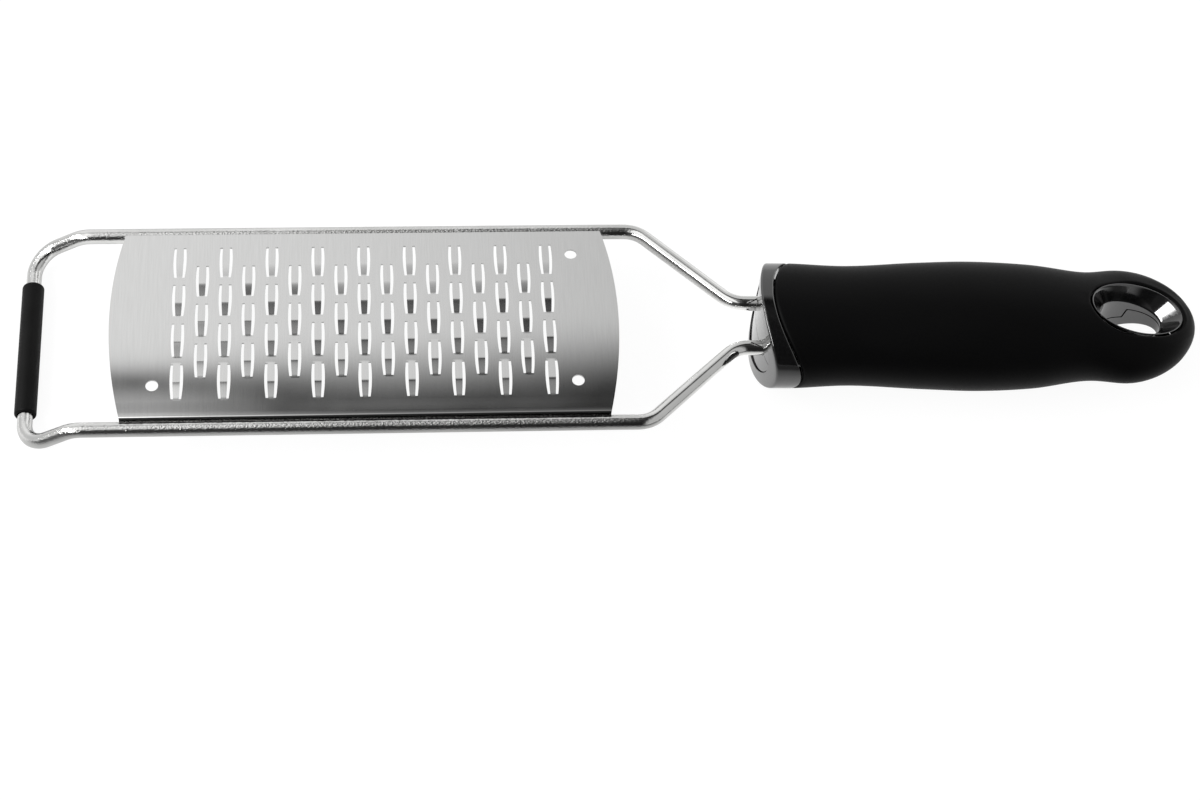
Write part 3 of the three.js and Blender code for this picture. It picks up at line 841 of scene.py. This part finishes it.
def eye_oval(angle, wall, middle_x, length, width, height, slope, side):
    """An oval in the plan, widened by a wall, whose height falls evenly towards the tail's end."""
    x = middle_x + (length / 2 + wall) * np.cos(angle)
    y = (width / 2 + wall) * np.sin(angle)
    z = height - slope * (x - THROAT_X)
    return points_at(x, y, side * z)


def throat_edge(angle, wall, side):
    """Where the throat ends and a mouth begins."""
    height, slope = (THROAT_TOP, THROAT_TOP_SLOPE) if side == TOP else (THROAT_BOTTOM, THROAT_BOTTOM_SLOPE)
    return eye_oval(angle, wall, THROAT_X, THROAT_LENGTH, THROAT_WIDTH, height, slope, side)


def mouth_rim(angle, wall, side):
    """Where a mouth ends."""
    return eye_oval(angle, wall, RIM_X, RIM_LENGTH, RIM_WIDTH, RIM_HEIGHT, RIM_SLOPE, side)


rim_places = mouth_rim(full_circle(8), 0.0, TOP)
rim_skin = handle_surface(*skin_at(rim_places[:, 0], rim_places[:, 1], TOP))
print("rim below the skin by", np.round(rim_skin[:, 2] - rim_places[:, 2], 2).tolist(), "mm")

# %% [markdown]
# The soft grip is a sleeve moulded over a hard core. Its skin is the handle form from the curved front
# edge back to the tail, with two oval openings for the eye. Cutting the openings out of a finished mesh
# would leave long thin faces that catch the light, so the grid is planned for them: a block of it is left
# out around each opening, and rings of points close the space between the block and the oval. The inner
# skin is the same grid drawn in by the wall, and strips join the two at each edge.

# %% Grip grid
GRIP_FRONT, GRIP_FRONT_RADIUS, GRIP_EDGE = 107.3, 25.0, 1.1
SHEAR_RUN, FRONT_LINES_END = 26.0, 135.0
BLOCK_START, BLOCK_END, BLOCK_ANGLE = 188.0, 229.0, math.radians(50)
ANGLE_STEPS, ANGLE_SLACK = 144, 1e-6

skin_start = GRIP_FRONT + GRIP_EDGE
grip_runs = lines_between(
    (skin_start, 0), (FRONT_LINES_END, 22), (BLOCK_START, 34), (BLOCK_END, 30), (LAST_RUN, 6))
grip_angles = full_circle(ANGLE_STEPS)
front_wide = float(half_sizes(np.array(GRIP_FRONT))[0])


def face_behind(apex, radius, y):
    """X of an upright round face whose foremost line is at the apex."""
    return apex + radius - np.sqrt(radius**2 - y**2)


def front_edge(angle):
    """How far the grip's curved front edge lies behind its foremost point."""
    return face_behind(0.0, GRIP_FRONT_RADIUS, front_wide * np.cos(angle))


run_grid, angle_grid = np.meshgrid(grip_runs, grip_angles, indexing="ij")
fade = np.clip(1 - (run_grid - skin_start) / SHEAR_RUN, 0, 1) ** 2
sheared_run = run_grid + front_edge(angle_grid) * fade
print("grip grid:", run_grid.shape, "lines along and round")

# %% Grip skin
GRIP_WALL = 1.8
RIM_GAP, RIM_EDGE, RIM_STAND = 0.75, 0.9, 0.35
DIP_STEPS = 14
EYE_MIDDLE, EYE_REACH = RIM_X + 1.5, 20.0
block_rows = np.flatnonzero((grip_runs >= BLOCK_START) & (grip_runs <= BLOCK_END))


def ease(t):
    """From zero to one with a smooth start and a smooth end: three t squared less two t cubed."""
    return t**2 * (3 - 2 * t)


def eye_rings(inset, side, block_columns, middle):
    """Rings from a block's rim in to the oval, evenly in run and angle. Each rim point goes straight out
    from the oval, and the rings dip smoothly to the height of the mouth."""
    rim = block_rim(block_rows, block_columns, ANGLE_STEPS)
    rim_run, rim_angle = sheared_run.reshape(-1)[rim], angle_grid.reshape(-1)[rim]
    out_x, out_y = (rim_run - EYE_MIDDLE) / EYE_REACH, -(rim_angle - middle) / BLOCK_ANGLE
    edge = mouth_rim(np.arctan2(side * out_y, out_x), RIM_GAP + RIM_EDGE, side)
    edge_run, edge_angle = skin_at(edge[:, 0], edge[:, 1], side)
    height = handle_surface(edge_run, edge_angle)[:, 2] * side
    dip = np.maximum(0, height - edge[:, 2] * side - RIM_STAND)
    share = np.linspace(0, 1, DIP_STEPS)[:, None]
    ring_run = rim_run + (edge_run - rim_run) * share
    ring_angle = rim_angle + (edge_angle - rim_angle) * share
    rings = handle_surface(ring_run, ring_angle, inset)
    rings[..., 2] -= side * dip * ease(share)
    return rings


def skin(inset):
    """The handle's skin at an inset, with both openings, and the last two rings of points at each."""
    keep = np.ones((len(grip_runs) - 1, ANGLE_STEPS), bool)
    patches, edges = [], []
    for side, middle in ((TOP, math.pi / 2), (BOTTOM, 3 * math.pi / 2)):
        inside = np.flatnonzero(np.abs(grip_angles - middle) < BLOCK_ANGLE + ANGLE_SLACK)
        keep[block_rows[0]:block_rows[-1], inside[0]:inside[-1]] = False
        rings = eye_rings(inset, side, inside, middle)
        patches.append(patch(rings, wrap_columns=True, turned=True))
        edges.append(rings[-2:])
    base, quads = patch(handle_surface(sheared_run, angle_grid, inset), wrap_columns=True)
    return join_patches((base, quads[keep.reshape(-1)]), *patches), edges


(outer_points, outer_quads), outer_edges = skin(0.0)
(inner_points, inner_quads), inner_edges = skin(GRIP_WALL)
print("grip skins:", len(outer_quads), "faces each")

# %% Grip shell
LIP_STEPS = 8
edge_steps = np.linspace(0, math.pi / 2, LIP_STEPS)


def front_lip():
    """From the inner skin's front ring out along the front face and round a quarter circle."""
    drop = np.concatenate([[GRIP_WALL, (GRIP_WALL + GRIP_EDGE) / 2], GRIP_EDGE * (1 - np.sin(edge_steps))])
    back = np.concatenate([[0, 0], GRIP_EDGE * (1 - np.cos(edge_steps))])
    run = GRIP_FRONT + back[:, None] + front_edge(grip_angles)
    return handle_surface(run, grip_angles, drop[:, None])


def rim_lip(edge, side):
    """A quarter circle from the skin's last ring down into the eye, and a short wall below it."""
    out = unit(edge[0] - edge[1])
    up = unit(np.cross(np.roll(edge[1], -1, axis=0) - np.roll(edge[1], 1, axis=0), out))
    up *= np.sign(up[:, 2:] * side)
    bend = edge_steps[:, None, None]
    curve = edge[1] - RIM_EDGE * (out * np.sin(bend) + up * (1 - np.cos(bend)))
    return np.concatenate([curve, curve[-1:] - up * (GRIP_WALL - RIM_EDGE)])


lip = front_lip()
inner_front = handle_surface(sheared_run[0], grip_angles, GRIP_WALL)
grip_patches = [
    (outer_points, outer_quads),
    (inner_points, inner_quads[:, ::-1]),
    patch(lip, wrap_columns=True),
    patch(np.stack([inner_front, lip[0]]), wrap_columns=True),
]
for outer_edge, inner_edge, side in zip(outer_edges, inner_edges, (TOP, BOTTOM)):
    strip = np.concatenate([rim_lip(outer_edge, side), inner_edge[1:]])
    grip_patches.append(patch(strip, wrap_columns=True, turned=True))
grip_points, grip_quads = join_patches(*grip_patches)
print("grip shell:", len(grip_patches), "patches,", len(grip_quads), "faces")

# %% [markdown]
# The grip is soft-touch rubber: almost black, dull where it faces you and a little brighter towards its
# outline. The shader's sheen gives that edge brightening, which a plain gloss could not without a hard
# highlight. A very fine grain breaks it up.

# %% Soft grip
GRIP_DARK, GRIP_LIGHT = (0.0006, 0.0006, 0.0007), (0.0011, 0.0011, 0.0012)
GRIP_GRAIN_MM, GRIP_WEAR_MM, GRIP_GRAIN_HEIGHT = (0.35, 0.35, 0.35), (22, 10, 10), 0.02

soft_black, tree, shader, place = start_finish("soft_black")
grain = noise(tree, place, GRIP_GRAIN_MM)
wear = noise(tree, place, GRIP_WEAR_MM)
fill_sockets(tree, shader, {
    "Base Color": shade_between(tree, wear, GRIP_DARK, GRIP_LIGHT),
    "Roughness": value_between(tree, grain, 0.46, 0.56),
    "Specular IOR Level": 0.08,
    "Sheen Weight": 0.12,
    "Sheen Roughness": 0.22,
    "Normal": bumps(tree, grain, GRIP_GRAIN_HEIGHT, 0.25),
})
make_piece("soft_grip", "grip", soft_black,
           closed_shell(handle_on_table(grip_points), grip_quads))

# %% [markdown]
# The collar is a gloss ring in front of the grip. Its front and its back are upright round faces of
# different radius, so it is narrow on top and deeper at the sides. A ring cut from a solid would need its
# small edges bevelled afterwards, so they are part of a closed profile here: it goes from the bore out
# over the front face, round an edge, along the outside and back, and is carried round the oval.

# %% Collar ring
FACE_RADIUS = 40.7
COLLAR_WALL, COLLAR_REAR_GAP = 4.5, 0.25
COLLAR_SECTION_X = HANDLE_FRONT + 3.0
NOSE_WIDTH, NOSE_HEIGHT = 27.0, 21.4
COLLAR_EDGE, COLLAR_REAR_EDGE, BORE_EDGE, BORE_DEPTH = 0.55, 0.35, 0.12, 0.6
COLLAR_ROUND_STEPS = 7
COLLAR_ANGLES = full_circle(192)


def collar_profile():
    """Rows of an inset from the outside, a share of the way from the front face to the rear face, and a
    distance behind that, once round the ring's section."""
    wall = COLLAR_WALL
    turn = np.linspace(0, math.pi / 2, COLLAR_ROUND_STEPS)
    bore = [[wall, 0.0, BORE_DEPTH], [wall, 0.0, BORE_EDGE], [wall - BORE_EDGE, 0.0, 0.0]]
    front = [[wall * 0.66, 0.0, 0.0], [wall * 0.33, 0.0, 0.0]]
    front_round = points_at(COLLAR_EDGE * (1 - np.sin(turn)), 0.0, COLLAR_EDGE * (1 - np.cos(turn)))
    outside = [[0.0, 0.3, 0.2], [0.0, 0.6, 0.0]]
    rear_round = points_at(COLLAR_REAR_EDGE * (1 - np.cos(turn)), 1.0, -COLLAR_REAR_EDGE * (1 - np.sin(turn)))
    rear = [[wall * 0.5, 1.0, 0.0], [wall, 1.0, 0.0]]
    return np.concatenate([bore, front, front_round, outside, rear_round, rear])


def collar_ring():
    """The profile carried round the ring, between an oval bore and the handle's oval outside."""
    inset, depth, behind = np.moveaxis(collar_profile()[:, None], -1, 0)
    wide, high = half_sizes(np.array(COLLAR_SECTION_X))
    bore_y, bore_z = NOSE_WIDTH / 2 * np.cos(COLLAR_ANGLES), NOSE_HEIGHT / 2 * np.sin(COLLAR_ANGLES)
    outer_y, outer_z = wide * np.cos(COLLAR_ANGLES), high * np.sin(COLLAR_ANGLES)
    share = 1 - inset / COLLAR_WALL
    y = bore_y + (outer_y - bore_y) * share
    z = bore_z + (outer_z - bore_z) * share
    front_x = face_behind(HANDLE_FRONT, FACE_RADIUS, y)
    rear_x = face_behind(GRIP_FRONT - COLLAR_REAR_GAP, GRIP_FRONT_RADIUS, y)
    x = front_x + (rear_x - front_x) * depth + behind
    return patch(points_at(x, y, z), wrap_rows=True, wrap_columns=True)


collar_points, collar_quads = collar_ring()
print("collar:", len(collar_quads), "faces")

# %% [markdown]
# The collar and the core are hard gloss plastic. A moulded gloss is never a perfect mirror: it is very
# slightly wavy, and fine wear makes some places duller. A plain gloss without them looks like wet paint.
# Both are kept low, so that reflections stay crisp.

# %% Gloss black
GLOSS_DARK, GLOSS_LIGHT = (0.0025, 0.0025, 0.0026), (0.005, 0.005, 0.0052)
GLOSS_WAVE_MM, GLOSS_WEAR_MM, GLOSS_WAVE_HEIGHT = (6, 6, 6), (0.8, 0.8, 0.8), 0.02

gloss_black, tree, shader, place = start_finish("gloss_black")
waves = noise(tree, place, GLOSS_WAVE_MM)
wear = noise(tree, place, GLOSS_WEAR_MM, detail=4.0)
fill_sockets(tree, shader, {
    "Base Color": shade_between(tree, wear, GLOSS_DARK, GLOSS_LIGHT),
    "Roughness": value_between(tree, wear, 0.06, 0.12),
    "IOR": 2.0,
    "Normal": bumps(tree, waves, GLOSS_WAVE_HEIGHT, 0.3),
})
make_piece("collar_ring", "collar", gloss_black,
           closed_shell(handle_on_table(collar_points), collar_quads))

# %% [markdown]
# Inside the collar sits the hard core, in an upper and a lower half that clamp the wire. Their seam
# runs across the oval front plate and through both wires. Splitting one solid with a knife cut would
# leave no grooves for the wires, so each half is a stack of lines across it: at every station along the
# handle, y runs from edge to edge, and z goes from the seam, which rises in a half circle over each wire,
# up to the oval outside.

# %% Core sections
CORE_WALL, NOSE_GAP, WIRE_GAP = 2.5, 0.3, 0.1
NOSE_END, NOSE_BLEND = 112.0, 6.0
WIRE_BORE = WIRE_DIAMETER / 2 + WIRE_GAP
GROOVE_LINES, MIDDLE_LINES, TIP_LINES = 13, 5, 10


def core_half_sizes(x):
    """Half width and half height: the slim nose at the front, then the handle form less the grip's wall."""
    wide, high = half_sizes(x)
    blend = ease(np.clip((x - NOSE_END) / NOSE_BLEND, 0, 1))
    nose_wide, nose_high = NOSE_WIDTH / 2 - NOSE_GAP, NOSE_HEIGHT / 2 - NOSE_GAP
    wide = nose_wide + (wide - CORE_WALL - nose_wide) * blend
    high = nose_high + (high - CORE_WALL - nose_high) * blend
    return wide, high


def across_core(wide):
    """Y lines from edge to edge that fall on the edges of both wire grooves, closer where it curves."""
    groove = TANG_Y + WIRE_BORE * np.sin(np.linspace(-math.pi / 2, math.pi / 2, GROOVE_LINES))
    middle = np.linspace(0, groove[0], MIDDLE_LINES)[:-1]
    tip_share = np.sin(np.linspace(0, math.pi / 2, TIP_LINES)[1:])
    tip = groove[-1] + (wide[:, None] - groove[-1]) * tip_share
    inner = np.append(middle, groove)
    half = np.concatenate([np.broadcast_to(inner, (len(wide), len(inner))), tip], axis=1)
    return np.concatenate([-half[:, :0:-1], half], axis=1)


# %% Core bodies
NOSE_RECESS, FACE_FADE = 0.4, 40.0
SHOULDER_END, CORE_BODY_END = 120.0, 188.0
SEAM_HALF_GAP, PLATE_LINES = 0.09, 9


def core_body(side):
    """Seam side and outside of one half as two grids, closed by a front plate and a back face."""
    stations = lines_between(
        (HANDLE_FRONT + NOSE_RECESS, 0), (NOSE_END, 6), (SHOULDER_END, 6), (CORE_BODY_END, 17))
    wide, high = core_half_sizes(stations)
    y = across_core(wide)
    fade = np.clip(1 - (stations - stations[0]) / FACE_FADE, 0, 1)[:, None]
    x = stations[:, None] + face_behind(0.0, FACE_RADIUS, y) * fade
    top = high[:, None] * np.sqrt(np.maximum(0, 1 - (y / wide[:, None]) ** 2))
    groove = np.sqrt(np.maximum(0, WIRE_BORE**2 - (np.abs(y) - TANG_Y) ** 2))
    seam = np.minimum(np.maximum(groove, SEAM_HALF_GAP), np.maximum(top, SEAM_HALF_GAP))
    top = np.maximum(top, seam)
    share = np.linspace(0, 1, PLATE_LINES)[:, None]
    front, back = (points_at(x[row], y[row], seam[row] + (top[row] - seam[row]) * share) for row in (0, -1))
    points, quads = join_patches(
        patch(front), patch(back, turned=True),
        patch(points_at(x, y, top)), patch(points_at(x, y, seam), turned=True),
    )
    return points * [1, 1, side], quads


core_halves = {"core_upper": TOP, "core_lower": BOTTOM}
core_shells = {node: [core_body(side)] for node, side in core_halves.items()}
print("core bodies:", [len(shells[0][1]) for shells in core_shells.values()], "faces")

# %% [markdown]
# At the tail each half also lines the eye. The liner is thin, so it is not cut from a block but drawn as
# a closed profile carried round the oval: up the throat from the seam, out along the flared mouth to a
# thin rounded rim, and back down behind it. The seam lies lower in front of the eye's middle than behind
# it, as the real one does.

# %% Eye liners
LINER_WALL = 0.3
SEAM_FRONT, SEAM_BACK, SEAM_FALL = -2.5, 1.0, 0.08
SEAM_STEP_X, SEAM_STEP_LENGTH = 206.1, 0.9
EYE_SEAM_HALF_GAP, SEAM_STEP_GAP, RIDGE_ROUND = 0.2, 0.18, 0.4
EYE_ANGLES = full_circle(240)
THROAT_LINES, RIDGE_LINES, MOUTH_LINES, RIM_LINES = 9, 6, 10, 7
throat_share = np.linspace(0, 1, THROAT_LINES)[:, None]
ridge_share = np.linspace(0, 1, RIDGE_LINES)[1:, None, None]
mouth_share = np.linspace(0, 1, MOUTH_LINES)[1:, None, None]
rim_turn = np.linspace(0, math.pi, RIM_LINES)[1:-1, None, None]


def seam_height(x):
    """Level in front of the step, then a short smooth ramp, then a slight fall towards the tail's end."""
    t = ease(np.clip((x - SEAM_STEP_X) / SEAM_STEP_LENGTH + 0.5, 0, 1))
    return SEAM_FRONT + (SEAM_BACK - SEAM_FALL * (x - SEAM_STEP_X) - SEAM_FRONT) * t


def wall_lines(wall, side):
    """Lines from the seam up the throat, over a ridge and out along the mouth. The ridge is a parabola
    between a point just before it and a point just after it."""
    ridge, rim = throat_edge(EYE_ANGLES, wall, side), mouth_rim(EYE_ANGLES, wall, side)
    seam = seam_height(ridge[:, 0] + side * SEAM_STEP_GAP) + side * EYE_SEAM_HALF_GAP
    before = ridge - [0, 0, side * RIDGE_ROUND]
    after = ridge + unit(rim - ridge) * RIDGE_ROUND
    throat = points_at(before[:, 0], before[:, 1], seam + (before[:, 2] - seam) * throat_share)
    t = ridge_share
    rounded = (1 - t) ** 2 * before + 2 * t * (1 - t) * ridge + t**2 * after
    return np.concatenate([throat, rounded, after + (rim - after) * mouth_share])


def eye_liner(side):
    """Inner wall, a half-round rim and the outer wall, from the seam and back to it."""
    inner, outer = wall_lines(0.0, side), wall_lines(LINER_WALL, side)
    centre, arm = (inner[-1] + outer[-1]) / 2, (outer[-1] - inner[-1]) / 2
    climb = unit(inner[-1] - inner[-2]) * LINER_WALL / 2
    rim = centre - arm * np.cos(rim_turn) + climb * np.sin(rim_turn)
    return patch(np.concatenate([inner, rim, outer[::-1]]), wrap_rows=True, wrap_columns=True)


for node, side in core_halves.items():
    core_shells[node].append(eye_liner(side))
    shells = [closed_shell(handle_on_table(points), quads) for points, quads in core_shells[node]]
    make_piece(node + "_half", node, gloss_black, join_patches(*shells))

# %% [markdown]
# The studio is a white table under soft light. A real table lit until it is white would need far more
# light than the object can take, so for the camera the table glows on its own, and the object still dims
# it a little where it stands close to it. Mirrors see the table lit by the room, but with painted shade in
# its colour, dark to the front, where the camera stands, and pale under the object. They also see a painted
# glow on it that is brighter by the handle than by the blade.

# %% Table
TABLE_SIZE = 6.0
half_table = TABLE_SIZE / 2
table_corners = [(x * half_table, y * half_table, 0) for x, y in ((-1, -1), (1, -1), (1, 1), (-1, 1))]
floor_mesh = bpy.data.meshes.new("table")
floor_mesh.from_pydata(table_corners, [], [(0, 1, 2, 3)])
floor = add_object("table", floor_mesh)
print("table:", TABLE_SIZE, "m square")

# %% White table
# Places from front to back in metres, and the table's painted shade there in mirrors
MIRROR_TABLE_PAINTED_SHADE = [(-0.11, 0.06), (-0.05, 0.3), (-0.03, 0.5), (-0.012, 0.72), (0.02, 0.72), (0.035, 0.5)]
BLADE_GLOW, HANDLE_GLOW = 0.4, 0.85
GLOW_FROM, GLOW_TO = -0.005, 0.03
WHITE_GLOW, SHADOW_SHADE = 0.93, (0.11, 0.11, 0.11, 1)

table_white = bpy.data.materials.new("table_white")
table_white.use_nodes = True
tree = table_white.node_tree
tree.nodes.clear()
ray = tree.nodes.new("ShaderNodeLightPath").outputs
# One for camera and see-through rays, zero for mirrors and for the rays that light surfaces
seen_directly = calculate(tree, "MAXIMUM", ray["Is Camera Ray"], ray["Is Transmission Ray"])
glow = add_node(tree, "ShaderNodeEmission", {"Strength": WHITE_GLOW})
shadow = add_node(tree, "ShaderNodeBsdfDiffuse", {"Color": SHADOW_SHADE})
shown = add_node(tree, "ShaderNodeAddShader", {0: glow.outputs["Emission"], 1: shadow.outputs["BSDF"]})

place = tree.nodes.new("ShaderNodeTexCoord").outputs["Object"]
table_place = add_node(tree, "ShaderNodeSeparateXYZ", {"Vector": place}).outputs
painted_table_shade = grey_along(tree, table_place["Y"], MIRROR_TABLE_PAINTED_SHADE)
bounce = add_node(tree, "ShaderNodeBsdfDiffuse", {"Color": painted_table_shade})
# A painted glow on the table that only mirrors see, brighter by the handle than by the blade
towards_handle = ramp_between(tree, table_place["X"], GLOW_FROM, GLOW_TO, BLADE_GLOW, HANDLE_GLOW)
in_mirrors = ramp_between(tree, ray["Is Glossy Ray"], 0.0, 1.0, 0.0, towards_handle)
mirrored = add_node(tree, "ShaderNodeEmission", {"Color": painted_table_shade, "Strength": in_mirrors})
lit = add_node(tree, "ShaderNodeAddShader", {0: bounce.outputs["BSDF"], 1: mirrored.outputs["Emission"]})
sockets = {"Fac": seen_directly, 1: lit.outputs["Shader"], 2: shown.outputs["Shader"]}
choose = add_node(tree, "ShaderNodeMixShader", sockets)
add_node(tree, "ShaderNodeOutputMaterial", {"Surface": choose.outputs["Shader"]})
table_white.cycles.emission_sampling = "NONE"
floor_mesh.materials.append(table_white)
print("table finish:", len(tree.nodes), "nodes")

# %% [markdown]
# Polished steel shows the room more than itself. A picture of a studio could be wrapped round the scene,
# but a few ramps need no file and can be read: they go by the angle over the far horizon, with 90 degrees
# straight overhead, and by the place from left to right. A far white wall ends overhead, a soft box hangs
# beyond its end, brightest on the left, and a glimmer lies between the two. The gap between them and the
# room behind the camera stay dark, and that draws the dark streaks on the steel.

# %% World directions
world = bpy.data.worlds.new("studio")
bpy.context.scene.world = world
world.use_nodes = True
tree = world.node_tree
tree.nodes.clear()
direction = tree.nodes.new("ShaderNodeTexCoord").outputs["Generated"]
towards = add_node(tree, "ShaderNodeSeparateXYZ", {"Vector": direction}).outputs
to_right = towards["X"]
rise_angle = calculate(tree, "ARCTAN2", towards["Z"], towards["Y"])
print("world:", world.name)


def over_angle(degrees, before, after, kind="SMOOTHSTEP"):
    """A number that changes between two angles over the far horizon."""
    start, end = (math.radians(angle) for angle in degrees)
    return ramp_between(tree, rise_angle, start, end, before, after, kind)


def over_side(places, before, after):
    """A number that changes smoothly between two places from left to right."""
    return ramp_between(tree, to_right, *places, before, after, "SMOOTHSTEP")


def product(*factors):
    """All factors multiplied, node outputs or plain numbers."""
    return calculate(tree, "MULTIPLY", *factors)


# %% Far wall
# Place from left to right, angles at which the far wall starts and ends its fade overhead, its level, and
# the level of the soft box that hangs beyond the fade
WALL_FADE = [
    (-0.100, 59.8, 63.2, 0.98, 1.35),
    (-0.084, 59.2, 64.4, 0.97, 0.90),
    (-0.043, 57.0, 66.0, 0.92, 0.55),
    (-0.020, 55.8, 69.0, 0.90, 0.44),
    (0.036, 54.8, 67.0, 0.80, 0.32),
    (0.050, 54.4, 66.5, 0.75, 0.32),
    (0.095, 53.5, 63.0, 0.70, 0.04),
]
FADE_SPAN, PLACE_SPAN = 180.0, 0.2
LEFT_FADE, LEFT_SHARE = (-0.8, -0.3), 0.6

wall_stops = [
    (0.5 + at / PLACE_SPAN, (start / FADE_SPAN, end / FADE_SPAN, level, box))
    for at, start, end, level, box in WALL_FADE
]
place_share = ramp_between(tree, to_right, -PLACE_SPAN / 2, PLACE_SPAN / 2, 0.0, 1.0)
fade = colour_stops(tree, place_share, wall_stops)
fade_parts = add_node(tree, "ShaderNodeSeparateColor", {"Color": fade["Color"]}).outputs
angle_share = calculate(tree, "DIVIDE", rise_angle, math.radians(FADE_SPAN))
wall = ramp_between(tree, angle_share, fade_parts["Red"], fade_parts["Green"], 1.0, 0.0, "SMOOTHSTEP")
towards_left = over_side(LEFT_FADE, LEFT_SHARE, 1.0)
far_wall = product(wall, fade_parts["Blue"], towards_left)
print("far wall:", len(wall_stops), "stops from left to right")

# %% Soft box, glimmer and room
BOX_START, BOX_END, BOX_REST = (66, 80), (114, 138), 0.04
DIP_ANGLES, DIP_PLACES, DIP_LEFT, DIP_RIGHT = (84, 100), (-0.11, 0.03), 0.1, 0.75
GLIMMER_START, GLIMMER_END, GLIMMER_PLACES, GLIMMER = (62.5, 66), (68.5, 71.5), (-0.1, -0.05), 0.56
RIGHT_BOX_PLACES, RIGHT_BOX = (0.25, 0.5), 0.55
LEFT_ROOM_PLACES, LEFT_ROOM, DARK_ROOM = (-0.55, -0.25), 0.09, 0.018

overhead = product(over_angle(BOX_START, 0.0, 1.0, "LINEAR"), over_angle(BOX_END, 1.0, BOX_REST))
box_dip = product(over_angle(DIP_ANGLES, 0.0, 1.0), over_side(DIP_PLACES, DIP_LEFT, DIP_RIGHT))
box_level = product(overhead, calculate(tree, "SUBTRACT", 1.0, box_dip))
soft_box = product(box_level, fade["Alpha"], towards_left)
glimmer_band = product(over_angle(GLIMMER_START, 0.0, 1.0), over_angle(GLIMMER_END, 1.0, 0.0))
glimmer = product(glimmer_band, over_side(GLIMMER_PLACES, GLIMMER, 0.0))
right_box = over_side(RIGHT_BOX_PLACES, 0.0, RIGHT_BOX)
left_room = over_side(LEFT_ROOM_PLACES, LEFT_ROOM, 0.0)
room_light = calculate(tree, "ADD", far_wall, glimmer, soft_box, right_box, left_room, DARK_ROOM)
print("room light:", len(tree.nodes), "nodes")

# %% World shader
WHITE = (1, 1, 1, 1)
is_camera = tree.nodes.new("ShaderNodeLightPath").outputs["Is Camera Ray"]
room = add_node(tree, "ShaderNodeBackground", {"Color": WHITE, "Strength": room_light})
backdrop = add_node(tree, "ShaderNodeBackground", {"Color": WHITE})
sockets = {"Fac": is_camera, 1: room.outputs["Background"], 2: backdrop.outputs["Background"]}
sky = add_node(tree, "ShaderNodeMixShader", sockets)
add_node(tree, "ShaderNodeOutputWorld", {"Surface": sky.outputs["Shader"]})
print("the camera sees white, everything else the room")

# %% [markdown]
# One large soft lamp stands on the left and a little in front of the object, about a metre above the
# table. A brighter world could give as much light, but not the white streak along the neck wires and the
# bright glint in the eye. Its level is low enough that pale surfaces keep their tone.

# %% Soft lamp
LAMP_PLACE = np.array([-1.07, -0.42, 0.98])
LAMP_TARGET = np.array([0.139, 0.0, 0.02])
LAMP_LENGTH, LAMP_HEIGHT, LAMP_POWER = 2.1, 0.22, 20.0


def standing(right, up, back, place):
    """A matrix whose columns are an object's three axes and its place."""
    matrix = Matrix.Identity(4)
    for column, axis in enumerate((right, up, back, place)):
        matrix.col[column][:3] = axis.tolist()
    return matrix


lamp_data = bpy.data.lights.new("soft_lamp", "AREA")
lamp_data.shape = "RECTANGLE"
lamp_data.size = LAMP_LENGTH
lamp_data.size_y = LAMP_HEIGHT
lamp_data.energy = LAMP_POWER
lamp = add_object("soft_lamp", lamp_data)
lamp_back = unit(LAMP_PLACE - LAMP_TARGET)
lamp_right = unit(np.cross([0, 0, 1], lamp_back))
lamp.matrix_world = standing(lamp_right, np.cross(lamp_back, lamp_right), lamp_back, LAMP_PLACE)
print("lamp", round(float(np.linalg.norm(LAMP_PLACE - LAMP_TARGET)), 2), "m from the handle")

# %% [markdown]
# The camera stands in front of the grater and looks down at it, turned and tilted a little as the
# photographer held it. It could be aimed by a Track To constraint, but that would keep it level. Its
# place, its three angles and its lens were fitted to the object's own edges instead.

# %% Camera
CAMERA_PLACE = np.array([-0.081994, -0.452201, 0.641920])
CAMERA_TURN, CAMERA_DOWN, CAMERA_ROLL = math.radians(10.0932), math.radians(55.2660), math.radians(8.3566)
CAMERA_LENS, SENSOR_WIDTH, CLIP_START = 87.54, 36.0, 0.01

level = np.array([math.cos(CAMERA_TURN), -math.sin(CAMERA_TURN), 0.0])
look = np.array([
    math.sin(CAMERA_TURN) * math.cos(CAMERA_DOWN),
    math.cos(CAMERA_TURN) * math.cos(CAMERA_DOWN),
    -math.sin(CAMERA_DOWN),
])
above = np.cross(level, look)
camera_right = level * math.cos(CAMERA_ROLL) + above * math.sin(CAMERA_ROLL)
camera_up = above * math.cos(CAMERA_ROLL) - level * math.sin(CAMERA_ROLL)
camera_data = bpy.data.cameras.new("camera")
camera_data.sensor_fit = "HORIZONTAL"
camera_data.sensor_width = SENSOR_WIDTH
camera_data.lens = CAMERA_LENS
camera_data.clip_start = CLIP_START
camera = add_object("camera", camera_data)
camera.matrix_world = standing(camera_right, camera_up, -look, CAMERA_PLACE)
bpy.context.scene.camera = camera
bpy.context.scene.view_settings.view_transform = "Standard"
print("camera", round(float(np.linalg.norm(CAMERA_PLACE)), 2), "m from the middle of the table")
